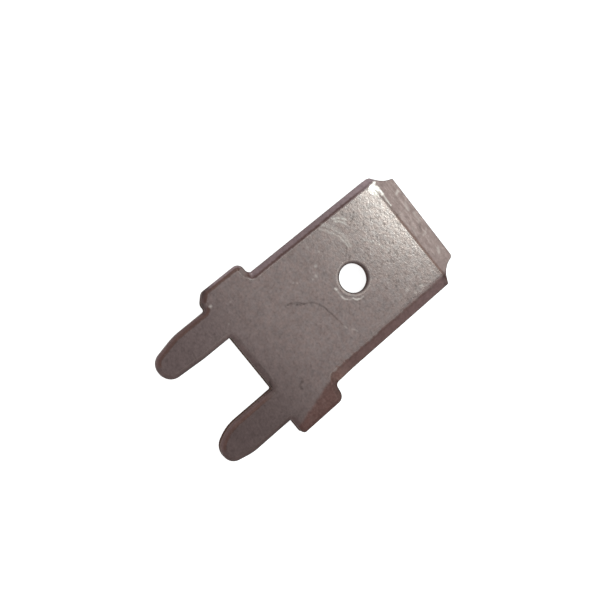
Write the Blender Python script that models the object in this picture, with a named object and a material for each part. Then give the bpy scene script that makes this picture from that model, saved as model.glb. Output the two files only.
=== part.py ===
"""A blade terminal for a printed circuit board, stamped from one strip of tinned brass.

A flat blade takes a push-on connector, two shoulders seat on the board, and two legs go through
it to be soldered. The terminal lies on its back: the strip is in the XY plane, the blade points
along +Y, and the front face, from which the die sheared the strip, looks up along +Z. The origin
is the middle of the outline, on the back face. All lengths are in metres.
"""

import math
from dataclasses import dataclass

import bmesh
import bpy
from mathutils import Vector

MM = 0.001

# The strip
THICKNESS = 0.80 * MM

# The blade, from the shoulders to its tip
BLADE_WIDTH = 6.35 * MM
BLADE_LENGTH = 8.37 * MM

# The blade's lead-in: a bevel on both faces, and two corners cropped by a round punch
TIP_BEVEL_LENGTH = 1.05 * MM
TIP_BEVEL_DEPTH = 0.19 * MM
CORNER_ACROSS = 0.82 * MM
CORNER_ALONG = 1.02 * MM
CORNER_HOLLOW = 0.17 * MM

# The detent hole that locks the push-on connector
HOLE_DIAMETER = 1.34 * MM
HOLE_TO_TIP = 4.62 * MM

# The shoulders, which rest on the board
SHOULDER_STEP = 0.78 * MM
SHOULDER_LENGTH = 2.53 * MM

# The legs, and the gap between them, which stays a little clear of the board
LEG_PITCH = 4.58 * MM
LEG_WIDTH = 1.60 * MM
LEG_LENGTH = 3.39 * MM
LEG_TIP_WIDTH = 1.36 * MM
LEG_TAPER_LENGTH = 1.70 * MM
GAP_RELIEF = 0.14 * MM

# Radii in the outline
BLADE_ROOT_RADIUS = 0.22 * MM
SHOULDER_TOP_RADIUS = 0.38 * MM
SHOULDER_FOOT_RADIUS = 0.30 * MM
LEG_ROOT_RADIUS = 0.12 * MM
GAP_CORNER_RADIUS = 0.08 * MM

# Flats coined along both faces of the blade's long sides
COIN_WIDTH = 0.36 * MM
COIN_DEPTH = 0.14 * MM

# Front edges rounded as the die drew the strip down, and back edges left nearly sharp
ROLL_WIDTH = 0.24 * MM
ROLL_DEPTH = 0.11 * MM
SHEAR_BREAK = 0.03 * MM

# The hole's rounded mouth on the front, and where the slug broke out at the back
HOLE_ROLL_WIDTH = 0.28 * MM
HOLE_ROLL_DEPTH = 0.09 * MM
BREAKOUT_WIDTH = 0.13 * MM
BREAKOUT_DEPTH = 0.39 * MM

# How finely curves are cut into facets
ARC_STEP = math.radians(15)
ROLL_STEPS = 3
HOLE_STEPS = 48
PUNCH_STEPS = 96

# How far a cutter reaches past what it cuts, how near two points are one, and the least turn that
# gets a fillet
OVERCUT = 0.50 * MM
SAME_POINT = 0.001 * MM
LEAST_TURN = math.radians(0.1)

# The finish: dull tin, greyed by handling
TIN_COLOUR = (0.26, 0.21, 0.20, 1.0)
TIN_ROUGHNESS = 0.42
TIN_METALLIC = 0.9

# The sharpest bend between two facets that is still shaded as one curve
SMOOTH_BEND = math.radians(25)

# Places worked out from the sizes above
OVERALL_LENGTH = LEG_LENGTH + SHOULDER_LENGTH + BLADE_LENGTH
TIP_Y = OVERALL_LENGTH / 2
SHOULDER_Y = TIP_Y - BLADE_LENGTH
BOARD_Y = SHOULDER_Y - SHOULDER_LENGTH
LEG_TIP_Y = BOARD_Y - LEG_LENGTH
BLADE_HALF = BLADE_WIDTH / 2
SHOULDER_HALF = BLADE_HALF + SHOULDER_STEP


@dataclass(frozen=True)
class Edge:
    """How one stretch of the outline is finished, on the front face and on the back.

    A width is measured in from the outline and a depth down from the face. A bulge of 1 is a
    quarter of an ellipse, and a bulge of 0 is a flat.
    """

    front_width: float
    front_depth: float
    front_bulge: float
    back_width: float
    back_depth: float

    def blend(self, other, share):
        """The edge that is this share of the way from this one to the other."""
        mine, theirs = vars(self), vars(other)
        return Edge(**{key: mine[key] + (theirs[key] - mine[key]) * share for key in mine})

    def front_step(self, turn):
        """(inset, drop) on the front, at a turn of 0 on the side wall and 90 degrees on the face."""
        flat = turn / (math.pi / 2)
        inset = self.front_bulge * (1 - math.cos(turn)) + (1 - self.front_bulge) * flat
        rise = self.front_bulge * math.sin(turn) + (1 - self.front_bulge) * flat
        return self.front_width * inset, self.front_depth * (1 - rise)


COINED = Edge(COIN_WIDTH, COIN_DEPTH, 0.0, COIN_WIDTH, COIN_DEPTH)
ROLLED = Edge(ROLL_WIDTH, ROLL_DEPTH, 1.0, SHEAR_BREAK, SHEAR_BREAK)
SHEARED = Edge(SHEAR_BREAK, SHEAR_BREAK, 0.0, SHEAR_BREAK, SHEAR_BREAK)


@dataclass(frozen=True)
class Corner:
    """A corner of the outline: its place, its radius, and the edge that follows it."""

    x: float
    y: float
    radius: float
    edge: Edge

    @property
    def place(self):
        return Vector((self.x, self.y))


def clear_scene():
    """Removes whatever the scene holds."""
    for item in list(bpy.data.objects):
        bpy.data.objects.remove(item)


def leg_corners():
    """The right leg, from where it leaves the shoulder round its tip to the gap."""
    centre = LEG_PITCH / 2
    half = LEG_WIDTH / 2
    tip_half = LEG_TIP_WIDTH / 2
    taper_y = LEG_TIP_Y + LEG_TAPER_LENGTH
    return [
        Corner(centre + half, BOARD_Y, LEG_ROOT_RADIUS, ROLLED),
        Corner(centre + half, taper_y, LEG_TAPER_LENGTH / 2, ROLLED),
        Corner(centre + tip_half, LEG_TIP_Y, tip_half, ROLLED),
        Corner(centre - tip_half, LEG_TIP_Y, tip_half, ROLLED),
        Corner(centre - half, taper_y, LEG_TAPER_LENGTH / 2, ROLLED),
    ]


def right_half():
    """The right half of the outline, from the middle of the tip down to the middle of the gap."""
    return [
        Corner(0.0, TIP_Y, 0.0, SHEARED),
        Corner(BLADE_HALF, TIP_Y, 0.0, COINED),
        Corner(BLADE_HALF, SHOULDER_Y, BLADE_ROOT_RADIUS, ROLLED),
        Corner(SHOULDER_HALF, SHOULDER_Y, SHOULDER_TOP_RADIUS, ROLLED),
        Corner(SHOULDER_HALF, BOARD_Y, SHOULDER_FOOT_RADIUS, ROLLED),
        *leg_corners(),
        Corner(LEG_PITCH / 2 - LEG_WIDTH / 2, BOARD_Y + GAP_RELIEF, GAP_CORNER_RADIUS, ROLLED),
        Corner(0.0, BOARD_Y + GAP_RELIEF, 0.0, ROLLED),
    ]


def fillet(before, corner, after):
    """The points of one rounded corner, each with its edge, turning from one stretch to the next.

    The radius is kept within what half of each neighbouring stretch can hold.
    """
    back = before.place - corner.place
    ahead = after.place - corner.place
    turn = math.pi - back.angle(ahead)
    room = min(back.length, ahead.length) / 2
    radius = min(corner.radius, room / math.tan(turn / 2)) if turn > LEAST_TURN else 0.0
    if radius == 0.0:
        return [(corner.place, corner.edge)]
    tangent = radius * math.tan(turn / 2)
    start = corner.place + back.normalized() * tangent
    middle = (back.normalized() + ahead.normalized()).normalized()
    centre = corner.place + middle * (radius / math.cos(turn / 2))
    side = -math.copysign(1.0, back.cross(ahead))
    steps = max(2, math.ceil(turn / ARC_STEP))
    points = []
    for step in range(steps + 1):
        share = step / steps
        spoke = start - centre
        angle = side * turn * share
        turned = Vector((
            spoke.x * math.cos(angle) - spoke.y * math.sin(angle),
            spoke.x * math.sin(angle) + spoke.y * math.cos(angle),
        ))
        points.append((centre + turned, before.edge.blend(corner.edge, share)))
    return points


def outline():
    """The whole outline, clockwise from the middle of the tip, as (point, edge) pairs."""
    corners = right_half()
    half = [(corners[0].place, corners[0].edge)]
    for before, corner, after in zip(corners, corners[1:], corners[2:]):
        arc = fillet(before, corner, after)
        if (arc[0][0] - half[-1][0]).length < SAME_POINT:
            arc = arc[1:]
        half.extend(arc)
    half.append((corners[-1].place, corners[-1].edge))
    mirrored = [(Vector((-point.x, point.y)), edge) for point, edge in half[1:-1]]
    return half + mirrored[::-1]


def mitres(points):
    """For each point of a clockwise outline, the step inwards that moves both its edges by 1."""
    steps = []
    for index, point in enumerate(points):
        arriving = (point - points[index - 1]).normalized()
        leaving = (points[(index + 1) % len(points)] - point).normalized()
        inward = Vector((arriving.y, -arriving.x)) + Vector((leaving.y, -leaving.x))
        steps.append(inward / (1 + arriving.dot(leaving)))
    return steps


def plate_rings(blank):
    """The plate's rings of points, from the back face round the side wall to the front face."""
    points = [point for point, _ in blank]
    edges = [edge for _, edge in blank]
    inward = mitres(points)

    def ring(insets, heights):
        return [
            (*(point + step * inset), height)
            for point, step, inset, height in zip(points, inward, insets, heights)
        ]

    rings = [
        ring([edge.back_width for edge in edges], [0.0] * len(edges)),
        ring([0.0] * len(edges), [edge.back_depth for edge in edges]),
    ]
    for index in range(ROLL_STEPS + 1):
        steps = [edge.front_step(math.pi / 2 * index / ROLL_STEPS) for edge in edges]
        rings.append(ring([inset for inset, _ in steps], [THICKNESS - drop for _, drop in steps]))
    return rings


def finished(name, mesh):
    """An object of this bmesh, triangulated and facing outwards."""
    mesh.normal_update()
    bmesh.ops.triangulate(mesh, faces=mesh.faces)
    bmesh.ops.recalc_face_normals(mesh, faces=mesh.faces)
    data = bpy.data.meshes.new(name)
    mesh.to_mesh(data)
    mesh.free()
    item = bpy.data.objects.new(name, data)
    bpy.context.scene.collection.objects.link(item)
    return item


def make_plate():
    """The blank with its finished edges: rings of points bridged with faces and closed by two caps."""
    mesh = bmesh.new()
    rings = [[mesh.verts.new(point) for point in ring] for ring in plate_rings(outline())]
    count = len(rings[0])
    for lower, upper in zip(rings, rings[1:]):
        for index in range(count):
            after = (index + 1) % count
            mesh.faces.new((lower[index], upper[index], upper[after], lower[after]))
    mesh.faces.new(rings[0])
    mesh.faces.new(reversed(rings[-1]))
    return finished("blade_terminal", mesh)


def make_hole_cutter():
    """The detent hole turned about its axis: the mouth's roll, the straight bore, the breakout."""
    radius = HOLE_DIAMETER / 2
    profile = [(0.0, THICKNESS + OVERCUT), (radius + HOLE_ROLL_WIDTH, THICKNESS + OVERCUT)]
    for index in range(ROLL_STEPS + 1):
        turn = math.pi / 2 * (1 - index / ROLL_STEPS)
        inset = HOLE_ROLL_WIDTH * (1 - math.cos(turn))
        drop = HOLE_ROLL_DEPTH * (1 - math.sin(turn))
        profile.append((radius + inset, THICKNESS - drop))
    profile.append((radius, BREAKOUT_DEPTH))
    profile.append((radius + BREAKOUT_WIDTH, 0.0))
    profile.append((radius + BREAKOUT_WIDTH, -OVERCUT))
    profile.append((0.0, -OVERCUT))

    mesh = bmesh.new()
    centre_y = TIP_Y - HOLE_TO_TIP
    points = [mesh.verts.new((x, centre_y, z)) for x, z in profile]
    lines = [mesh.edges.new(pair) for pair in zip(points, points[1:])]
    bmesh.ops.spin(
        mesh,
        geom=points + lines,
        cent=(0.0, centre_y, 0.0),
        axis=(0.0, 0.0, 1.0),
        angle=2 * math.pi,
        steps=HOLE_STEPS,
        use_merge=True,
    )
    bmesh.ops.remove_doubles(mesh, verts=mesh.verts, dist=SAME_POINT)
    return finished("hole_cutter", mesh)


def make_prism(name, outline_yz, half_width):
    """A bar along X whose section in YZ is the outline."""
    mesh = bmesh.new()
    base = [mesh.verts.new((-half_width, y, z)) for y, z in outline_yz]
    side = bmesh.ops.extrude_face_region(mesh, geom=[mesh.faces.new(base)])
    moved = [part for part in side["geom"] if isinstance(part, bmesh.types.BMVert)]
    bmesh.ops.translate(mesh, verts=moved, vec=(2 * half_width, 0.0, 0.0))
    return finished(name, mesh)


def make_bevel_cutter(name, face_z, into):
    """The wedge above the tip's bevel. It leans into the strip, up or down as into is 1 or -1."""
    slope = TIP_BEVEL_DEPTH / TIP_BEVEL_LENGTH
    start_y = TIP_Y - TIP_BEVEL_LENGTH
    past = TIP_BEVEL_LENGTH + OVERCUT
    outside = face_z - into * OVERCUT
    wedge = [
        (start_y - OVERCUT, face_z - into * slope * OVERCUT),
        (start_y + past, face_z + into * slope * past),
        (start_y + past, outside),
        (start_y - OVERCUT, outside),
    ]
    return make_prism(name, wedge, BLADE_HALF + OVERCUT)


def make_corner_punch(name, side):
    """The round punch that crops one corner of the tip, through both ends of the cut."""
    inner = Vector((BLADE_HALF - CORNER_ACROSS, TIP_Y))
    outer = Vector((BLADE_HALF, TIP_Y - CORNER_ALONG))
    chord = outer - inner
    radius = chord.length_squared / (8 * CORNER_HOLLOW) + CORNER_HOLLOW / 2
    away = Vector((-chord.y, chord.x)).normalized()
    centre = (inner + outer) / 2 + away * (radius - CORNER_HOLLOW)

    mesh = bmesh.new()
    bmesh.ops.create_cone(
        mesh,
        cap_ends=True,
        segments=PUNCH_STEPS,
        radius1=radius,
        radius2=radius,
        depth=THICKNESS + 2 * OVERCUT,
    )
    place = Vector((side * centre.x, centre.y, THICKNESS / 2))
    bmesh.ops.translate(mesh, verts=mesh.verts, vec=place)
    return finished(name, mesh)


def cut(item, cutter):
    """Cuts the item with a Boolean and keeps the cutter as a hidden guide."""
    cutter.hide_render = True
    cutter.display_type = "WIRE"
    boolean = item.modifiers.new(cutter.name, "BOOLEAN")
    boolean.operation = "DIFFERENCE"
    boolean.solver = "EXACT"
    boolean.object = cutter


def make_tin():
    """The tinned brass of the strip."""
    material = bpy.data.materials.new("tinned_brass")
    material.use_nodes = True
    shader = material.node_tree.nodes["Principled BSDF"]
    shader.inputs["Base Color"].default_value = TIN_COLOUR
    shader.inputs["Roughness"].default_value = TIN_ROUGHNESS
    shader.inputs["Metallic"].default_value = TIN_METALLIC
    return material


def make_terminal():
    """The whole terminal: the blank, then its bevels, cropped corners and hole."""
    terminal = make_plate()
    cut(terminal, make_bevel_cutter("front_bevel_cutter", THICKNESS, -1))
    cut(terminal, make_bevel_cutter("back_bevel_cutter", 0.0, 1))
    cut(terminal, make_corner_punch("right_corner_punch", 1))
    cut(terminal, make_corner_punch("left_corner_punch", -1))
    cut(terminal, make_hole_cutter())
    terminal.data.materials.append(make_tin())
    terminal.data.shade_smooth()
    terminal.data.set_sharp_from_angle(angle=SMOOTH_BEND)
    return terminal


clear_scene()
make_terminal()
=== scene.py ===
"""The looks of a blade terminal for a printed circuit board, stamped from one strip of tinned brass.

The terminal lies on its back: the strip is in the XY plane, the blade points along +Y, and the front
face looks up along +Z. Lengths here are in millimetres and become metres where a mesh, a bump, a lamp
or the camera is made. The dressed terminal is one closed surface: two faces whose height is a function of
the place in plan, and walls that carry a profile along the outline and round the hole.
"""

import logging
import math
from dataclasses import dataclass, field
from enum import Enum

import bpy
import numpy as np
from mathutils import Matrix, Vector
from mathutils.geometry import delaunay_2d_cdt


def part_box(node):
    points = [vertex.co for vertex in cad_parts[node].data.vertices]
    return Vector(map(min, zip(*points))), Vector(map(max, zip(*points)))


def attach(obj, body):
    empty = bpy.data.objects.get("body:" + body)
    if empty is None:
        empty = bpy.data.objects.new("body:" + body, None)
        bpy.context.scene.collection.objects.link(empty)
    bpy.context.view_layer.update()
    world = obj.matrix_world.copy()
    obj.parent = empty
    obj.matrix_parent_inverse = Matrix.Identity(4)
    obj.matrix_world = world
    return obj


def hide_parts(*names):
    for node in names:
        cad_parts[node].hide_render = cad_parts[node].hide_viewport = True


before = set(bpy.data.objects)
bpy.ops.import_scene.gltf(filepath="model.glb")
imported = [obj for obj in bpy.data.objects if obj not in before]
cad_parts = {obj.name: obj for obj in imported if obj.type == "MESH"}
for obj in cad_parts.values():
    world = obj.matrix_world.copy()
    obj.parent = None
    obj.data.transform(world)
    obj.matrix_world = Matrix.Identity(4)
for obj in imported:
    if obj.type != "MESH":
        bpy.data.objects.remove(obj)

MM = 0.001
CAD_NODE = "blade_terminal"
BODY = "root"

# A corner that turns less than this gets no arc, and a run shorter than this is left out.
NO_TURN = math.radians(0.1)
SHORTEST_RUN = 1e-4
# How many points are surveyed at a time, which keeps the memory small.
SURVEY_BATCH = 4000
# Delaunay's output that keeps the triangles within the given edges.
WITHIN_EDGES = 1
# Two faces that meet at more than this angle have a sharp edge between them.
SHARP_ANGLE = math.radians(38)
# The values that the mesh carries for its materials are kept within plus or minus this.
CARRIED_BOUND = 9.0
# The Mix node's sockets for each kind of data: its first input, its second and its output.
MIX_SOCKETS = {"FLOAT": (2, 3, 0), "RGBA": (6, 7, 2)}

log = logging.getLogger("blade_terminal")
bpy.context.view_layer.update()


# Outline and plan

class EdgeKind(Enum):
    """How one stretch of the outline was finished in the press."""

    COINED = 0
    ROLLED = 1
    SHEARED = 2


@dataclass(frozen=True)
class Corner:
    """A corner of the outline: its place, its radius, and the kind of edge that follows it."""

    x: float
    y: float
    radius: float
    edge: EdgeKind


def smooth_step(value: np.ndarray, low: float, high: float) -> np.ndarray:
    """An even S from 0 at low to 1 at high: 3t^2 - 2t^3, where t is the share of the way.

    Args:
        value: Any array.
        low: Where the S is 0.
        high: Where the S is 1. It may be below low.

    Returns:
        An array of the same shape.
    """
    share = np.clip((value - low) / (high - low), 0.0, 1.0)
    return share * share * (3.0 - 2.0 * share)


def soft_ramp(value: np.ndarray, blend: float) -> np.ndarray:
    """0 below zero and the value itself above, with the bend rounded over plus or minus blend.

    Within the blend it is the parabola (value + blend)^2 / (4 blend).

    Args:
        value: Any array.
        blend: Half the length of the rounded bend.

    Returns:
        An array of the same shape.
    """
    bend = (np.clip(value, -blend, blend) + blend) ** 2 / (4.0 * blend)
    return np.where(value > blend, value, bend)


def swell(value: np.ndarray, centre: float, width: float) -> np.ndarray:
    """A bell of height 1 at the centre: exp(-((value - centre) / width)^2)."""
    return np.exp(-(((value - centre) / width) ** 2))


@dataclass(frozen=True)
class Outline:
    """The terminal's outline in plan, clockwise from the middle of the tip.

    Attributes:
        corners: Its ends and the ends of its arcs, as an array of points.
        kinds: For each of them, the share of each kind of edge.
    """

    corners: np.ndarray
    kinds: np.ndarray

    def densified(self, step: float) -> tuple[np.ndarray, np.ndarray]:
        """The outline with its straight runs cut into pieces of at most one step.

        A point is A + (B - A) t, with t in even shares of each run.

        Args:
            step: The longest piece.

        Returns:
            The points, and the inward unit normal at each.
        """
        after = np.roll(self.corners, -1, axis=0)
        run = after - self.corners
        counts = np.maximum(1, np.ceil(np.linalg.norm(run, axis=1) / step)).astype(int)
        owner = np.repeat(np.arange(len(counts)), counts)
        place = np.arange(len(owner)) - np.repeat(np.cumsum(counts) - counts, counts)
        share = (place / counts[owner])[:, None]
        points = self.corners[owner] + run[owner] * share
        along = np.roll(points, -1, axis=0) - np.roll(points, 1, axis=0)
        along /= np.linalg.norm(along, axis=1)[:, None]
        return points, np.column_stack([along[:, 1], -along[:, 0]])

    def survey(self, points: np.ndarray) -> "Survey":
        """Measures points against the outline.

        The distance is to the nearest run, |P - (A + t(B - A))| with t kept from 0 to 1. A point is
        inside where a line from it towards +X crosses the outline an odd number of times.

        Args:
            points: Points in plan.

        Returns:
            The survey of those points.
        """
        start, run = self.corners, np.roll(self.corners, -1, axis=0) - self.corners
        end_kinds = np.roll(self.kinds, -1, axis=0)
        squared = (run**2).sum(axis=1)
        outward_x = -run[:, 1] / np.sqrt(squared)
        climb = np.where(run[:, 1] == 0, 1, run[:, 1])
        count = len(points)
        distance, facing = np.empty(count), np.empty(count)
        kinds, inside = np.empty((count, len(EdgeKind))), np.empty(count, bool)
        for first in range(0, count, SURVEY_BATCH):
            part = slice(first, first + SURVEY_BATCH)
            offset = points[part, None, :] - start[None]
            share = np.clip((offset * run).sum(axis=2) / squared, 0.0, 1.0)
            gap = np.linalg.norm(offset - run * share[..., None], axis=2)
            near = gap.argmin(axis=1)
            row = np.arange(len(near))
            blend = share[row, near][:, None]
            distance[part] = gap[row, near]
            kinds[part] = self.kinds[near] * (1 - blend) + end_kinds[near] * blend
            facing[part] = outward_x[near]
            below = start[None, :, 1] <= points[part, None, 1]
            end_below = np.roll(below, -1, axis=1)
            level = (points[part, None, 1] - start[None, :, 1]) / climb
            crossed_at = start[None, :, 0] + level * run[:, 0]
            crossed = (below != end_below) & (crossed_at > points[part, None, 0])
            inside[part] = crossed.sum(axis=1) % 2 == 1
        return Survey(distance, kinds, facing, inside)


@dataclass(frozen=True)
class Survey:
    """What a set of plan points is to the outline.

    Attributes:
        distance: How far each point is from the outline.
        kinds: The share of each kind of edge at the nearest place on the outline.
        facing: The X part of the outward direction there, 1 on a side that faces +X.
        inside: Whether the point is within the outline.
    """

    distance: np.ndarray
    kinds: np.ndarray
    facing: np.ndarray
    inside: np.ndarray


def fillet(before: Corner, corner: Corner, after: Corner, step: float) -> tuple[list, list]:
    """One rounded corner as points on an arc, with the edge kinds passing from one run to the next.

    A point is C + r (cos a, sin a), with a running evenly from the first tangent to the second. The
    radius is kept within what half of each neighbouring run can hold.

    Args:
        before: The corner before.
        corner: The corner to round.
        after: The corner after.
        step: The longest piece of arc.

    Returns:
        The points and, for each, the shares of the three edge kinds.
    """
    place = np.array([corner.x, corner.y])
    back = np.array([before.x, before.y]) - place
    ahead = np.array([after.x, after.y]) - place
    room = min(np.linalg.norm(back), np.linalg.norm(ahead)) / 2
    back, ahead = back / np.linalg.norm(back), ahead / np.linalg.norm(ahead)
    turn = math.pi - math.acos(np.clip(back @ ahead, -1.0, 1.0))
    pure = np.eye(len(EdgeKind))
    if corner.radius == 0.0 or turn < NO_TURN:
        return [place], [pure[corner.edge.value]]
    radius = min(corner.radius, room / math.tan(turn / 2))
    start = place + back * radius * math.tan(turn / 2)
    middle = (back + ahead) / np.linalg.norm(back + ahead)
    centre = place + middle * radius / math.cos(turn / 2)
    side = -math.copysign(1.0, back[0] * ahead[1] - back[1] * ahead[0])
    share = np.linspace(0.0, 1.0, max(3, math.ceil(radius * turn / step) + 1))
    angle = math.atan2(*(start - centre)[::-1]) + side * turn * share
    points = centre + radius * np.column_stack([np.cos(angle), np.sin(angle)])
    kinds = np.outer(1 - share, pure[before.edge.value]) + np.outer(share, pure[corner.edge.value])
    return list(points), list(kinds)


def hollow(start: tuple[float, float], end: tuple[float, float], depth: float, step: float) -> np.ndarray:
    """A hollow arc from start to end, as a round punch leaves it, sagging to the right by the depth.

    The radius is chord^2 / (8 depth) + depth / 2, and the points are evenly spaced on the arc.

    Args:
        start: Where the arc starts.
        end: Where it ends.
        depth: How far its middle lies from the chord.
        step: The longest piece.

    Returns:
        The points, with both ends.
    """
    start, end = np.array(start), np.array(end)
    chord = end - start
    length = np.linalg.norm(chord)
    radius = length**2 / (8 * depth) + depth / 2
    left = np.array([-chord[1], chord[0]]) / length
    centre = (start + end) / 2 + left * (radius - depth)
    first = math.atan2(*(start - centre)[::-1])
    sweep = 2 * math.asin(length / (2 * radius))
    angle = first + sweep * np.linspace(0.0, 1.0, math.ceil(radius * sweep / step) + 1)
    return centre + radius * np.column_stack([np.cos(angle), np.sin(angle)])


@dataclass(frozen=True)
class LegForm:
    """One leg in plan. Its outer side is the one away from the terminal's middle line.

    Attributes:
        outer: From the middle line to the outer side.
        inner: From the middle line to the inner side.
        outer_taper: How far above the tip the outer side starts to lean in.
        inner_taper: The same on the inner side.
        outer_lean: How far the outer side has come in at the tip's arc.
        inner_lean: The same on the inner side.
        short: How far the tip ends above the longer leg's.
        rounding: The radius at the tip, as a share of half its width.
    """

    outer: float
    inner: float
    outer_taper: float
    inner_taper: float
    outer_lean: float
    inner_lean: float
    short: float
    rounding: float


@dataclass(frozen=True)
class CropForm:
    """How a round punch cropped one corner of the tip.

    Attributes:
        across: From the blade's side to the crop, along the tip.
        blunt: The radius where the tip turns into the crop.
        sag: How hollow the crop is.
        ledge: The short flat between the hollow and the blade's side.
        ledge_along: How far below the tip the hollow ends.
        along: How far below the tip the blade's side starts.
        end_radius: The radius of that last corner.
    """

    across: float
    blunt: float
    sag: float
    ledge: float
    ledge_along: float
    along: float
    end_radius: float = 0.08


@dataclass(frozen=True)
class SideForm:
    """One side of the plan. The press left the two sides a little different.

    Attributes:
        shoulder: From the middle line to the shoulder's edge.
        foot_cut: How much of its lower corner is cut off slantwise.
        foot_radius: The radius at both ends of that cut.
        foot_drop: How far its underside lies below board_y.
        top_drop: How far its upper corner lies below shoulder_y.
        crop: The cropped corner of the tip.
        leg: The leg.
    """

    shoulder: float
    foot_cut: float
    foot_radius: float
    foot_drop: float
    top_drop: float
    crop: CropForm
    leg: LegForm


@dataclass(frozen=True)
class PlanSizes:
    """The terminal's plan, whose two halves differ in their SideForm alone.

    Attributes:
        tip_y: Where the tip is.
        leg_tip_y: Where the longer leg ends.
        blade_width: The blade's width.
        blade_length: From the tip to the shoulders.
        shoulder_length: From there to their underside.
        gap_relief: How far the gap between the legs goes past the underside.
        root_radius: The fillet between the blade and a shoulder.
        shoulder_radius: A shoulder's upper corner.
        leg_root_radius: The fillet between a leg and a shoulder.
        taper_rounding: The radius where a leg starts to taper, as a share of the taper's length.
        gap_radius: The gap's corners.
        hole_radius: The hole's radius.
        hole_to_tip: From the hole's centre to the tip.
        arc_step: The longest piece of an arc.
    """

    tip_y: float
    leg_tip_y: float
    blade_width: float = 6.35
    blade_length: float = 8.37
    shoulder_length: float = 2.53
    gap_relief: float = 0.14
    root_radius: float = 0.22
    shoulder_radius: float = 0.38
    leg_root_radius: float = 0.12
    taper_rounding: float = 2.2
    gap_radius: float = 0.08
    hole_radius: float = 0.69
    hole_to_tip: float = 4.63
    arc_step: float = 0.03

    @property
    def blade_half(self) -> float:
        """Half the blade's width."""
        return self.blade_width / 2

    @property
    def shoulder_y(self) -> float:
        """Where the blade meets the shoulders."""
        return self.tip_y - self.blade_length

    @property
    def board_y(self) -> float:
        """The shoulders' underside, which seats on the board."""
        return self.shoulder_y - self.shoulder_length

    @property
    def hole_y(self) -> float:
        """The hole's centre along the strip."""
        return self.tip_y - self.hole_to_tip

    def leg_corners(self, leg: LegForm, seat_y: float) -> list[Corner]:
        """One leg's corners from its outer root at seat_y round the tip to its inner root."""
        end = self.leg_tip_y + leg.short
        outer_tip, inner_tip = leg.outer - leg.outer_lean, leg.inner + leg.inner_lean
        tip_half = (outer_tip - inner_tip) / 2
        rolled = EdgeKind.ROLLED
        return [
            Corner(leg.outer, seat_y, self.leg_root_radius, rolled),
            Corner(leg.outer, end + leg.outer_taper, self.taper_rounding * leg.outer_taper, rolled),
            Corner(outer_tip, end, leg.rounding * tip_half, rolled),
            Corner(inner_tip, end, leg.rounding * tip_half, rolled),
            Corner(leg.inner, end + leg.inner_taper, self.taper_rounding * leg.inner_taper, rolled),
        ]

    def half_outline(self, side: SideForm) -> tuple[np.ndarray, np.ndarray]:
        """One half of the outline, as a right half, from the tip's middle to the gap's middle.

        Args:
            side: That side's form.

        Returns:
            The points and their edge kinds.
        """
        half, top, crop = self.blade_half, self.tip_y, side.crop
        sheared, rolled = EdgeKind.SHEARED, EdgeKind.ROLLED
        seat_y, gap_y = self.board_y - side.foot_drop, self.board_y + self.gap_relief
        across = half - crop.across
        corners = [
            Corner(half - crop.ledge, top - crop.ledge_along, 0.0, sheared),
            Corner(half, top - crop.along, crop.end_radius, EdgeKind.COINED),
            Corner(half, self.shoulder_y, self.root_radius, rolled),
            Corner(side.shoulder, self.shoulder_y - side.top_drop, self.shoulder_radius, rolled),
            Corner(side.shoulder, seat_y + side.foot_cut, side.foot_radius, rolled),
            Corner(side.shoulder - side.foot_cut, seat_y, side.foot_radius, rolled),
            *self.leg_corners(side.leg, seat_y),
            Corner(side.leg.inner, gap_y, self.gap_radius, rolled),
            Corner(0.0, gap_y, 0.0, rolled),
        ]
        blunt, _ = fillet(Corner(0.0, top, 0.0, sheared), Corner(across, top, crop.blunt, sheared),
                          Corner(across, top - 2 * crop.blunt, 0.0, sheared), self.arc_step)
        ledge = corners[0].x, corners[0].y
        cropped = hollow((across, top - crop.blunt), ledge, crop.sag, self.arc_step)
        pure = np.eye(len(EdgeKind))
        points = [np.array([0.0, top]), *blunt[:-1], *cropped]
        kinds = [pure[sheared.value]] * len(points)
        for before, corner, after in zip(corners, corners[1:], corners[2:]):
            arc, shares = fillet(before, corner, after, self.arc_step)
            points.extend(arc)
            kinds.extend(shares)
        points.append(np.array([0.0, gap_y]))
        kinds.append(pure[rolled.value])
        return np.array(points), np.array(kinds)

    def outline(self, right: SideForm, left: SideForm) -> Outline:
        """The whole outline: the right half, then the left half mirrored and run backwards."""
        right_points, right_kinds = self.half_outline(right)
        left_points, left_kinds = self.half_outline(left)
        left_points = left_points[1:] * np.array([-1.0, 1.0])
        points = np.vstack([right_points, left_points[::-1]])
        kinds = np.vstack([right_kinds, left_kinds[1:][::-1]])
        keep = np.linalg.norm(points - np.roll(points, 1, axis=0), axis=1) > SHORTEST_RUN
        return Outline(points[keep], kinds[keep])


# The press work on the strip

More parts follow.
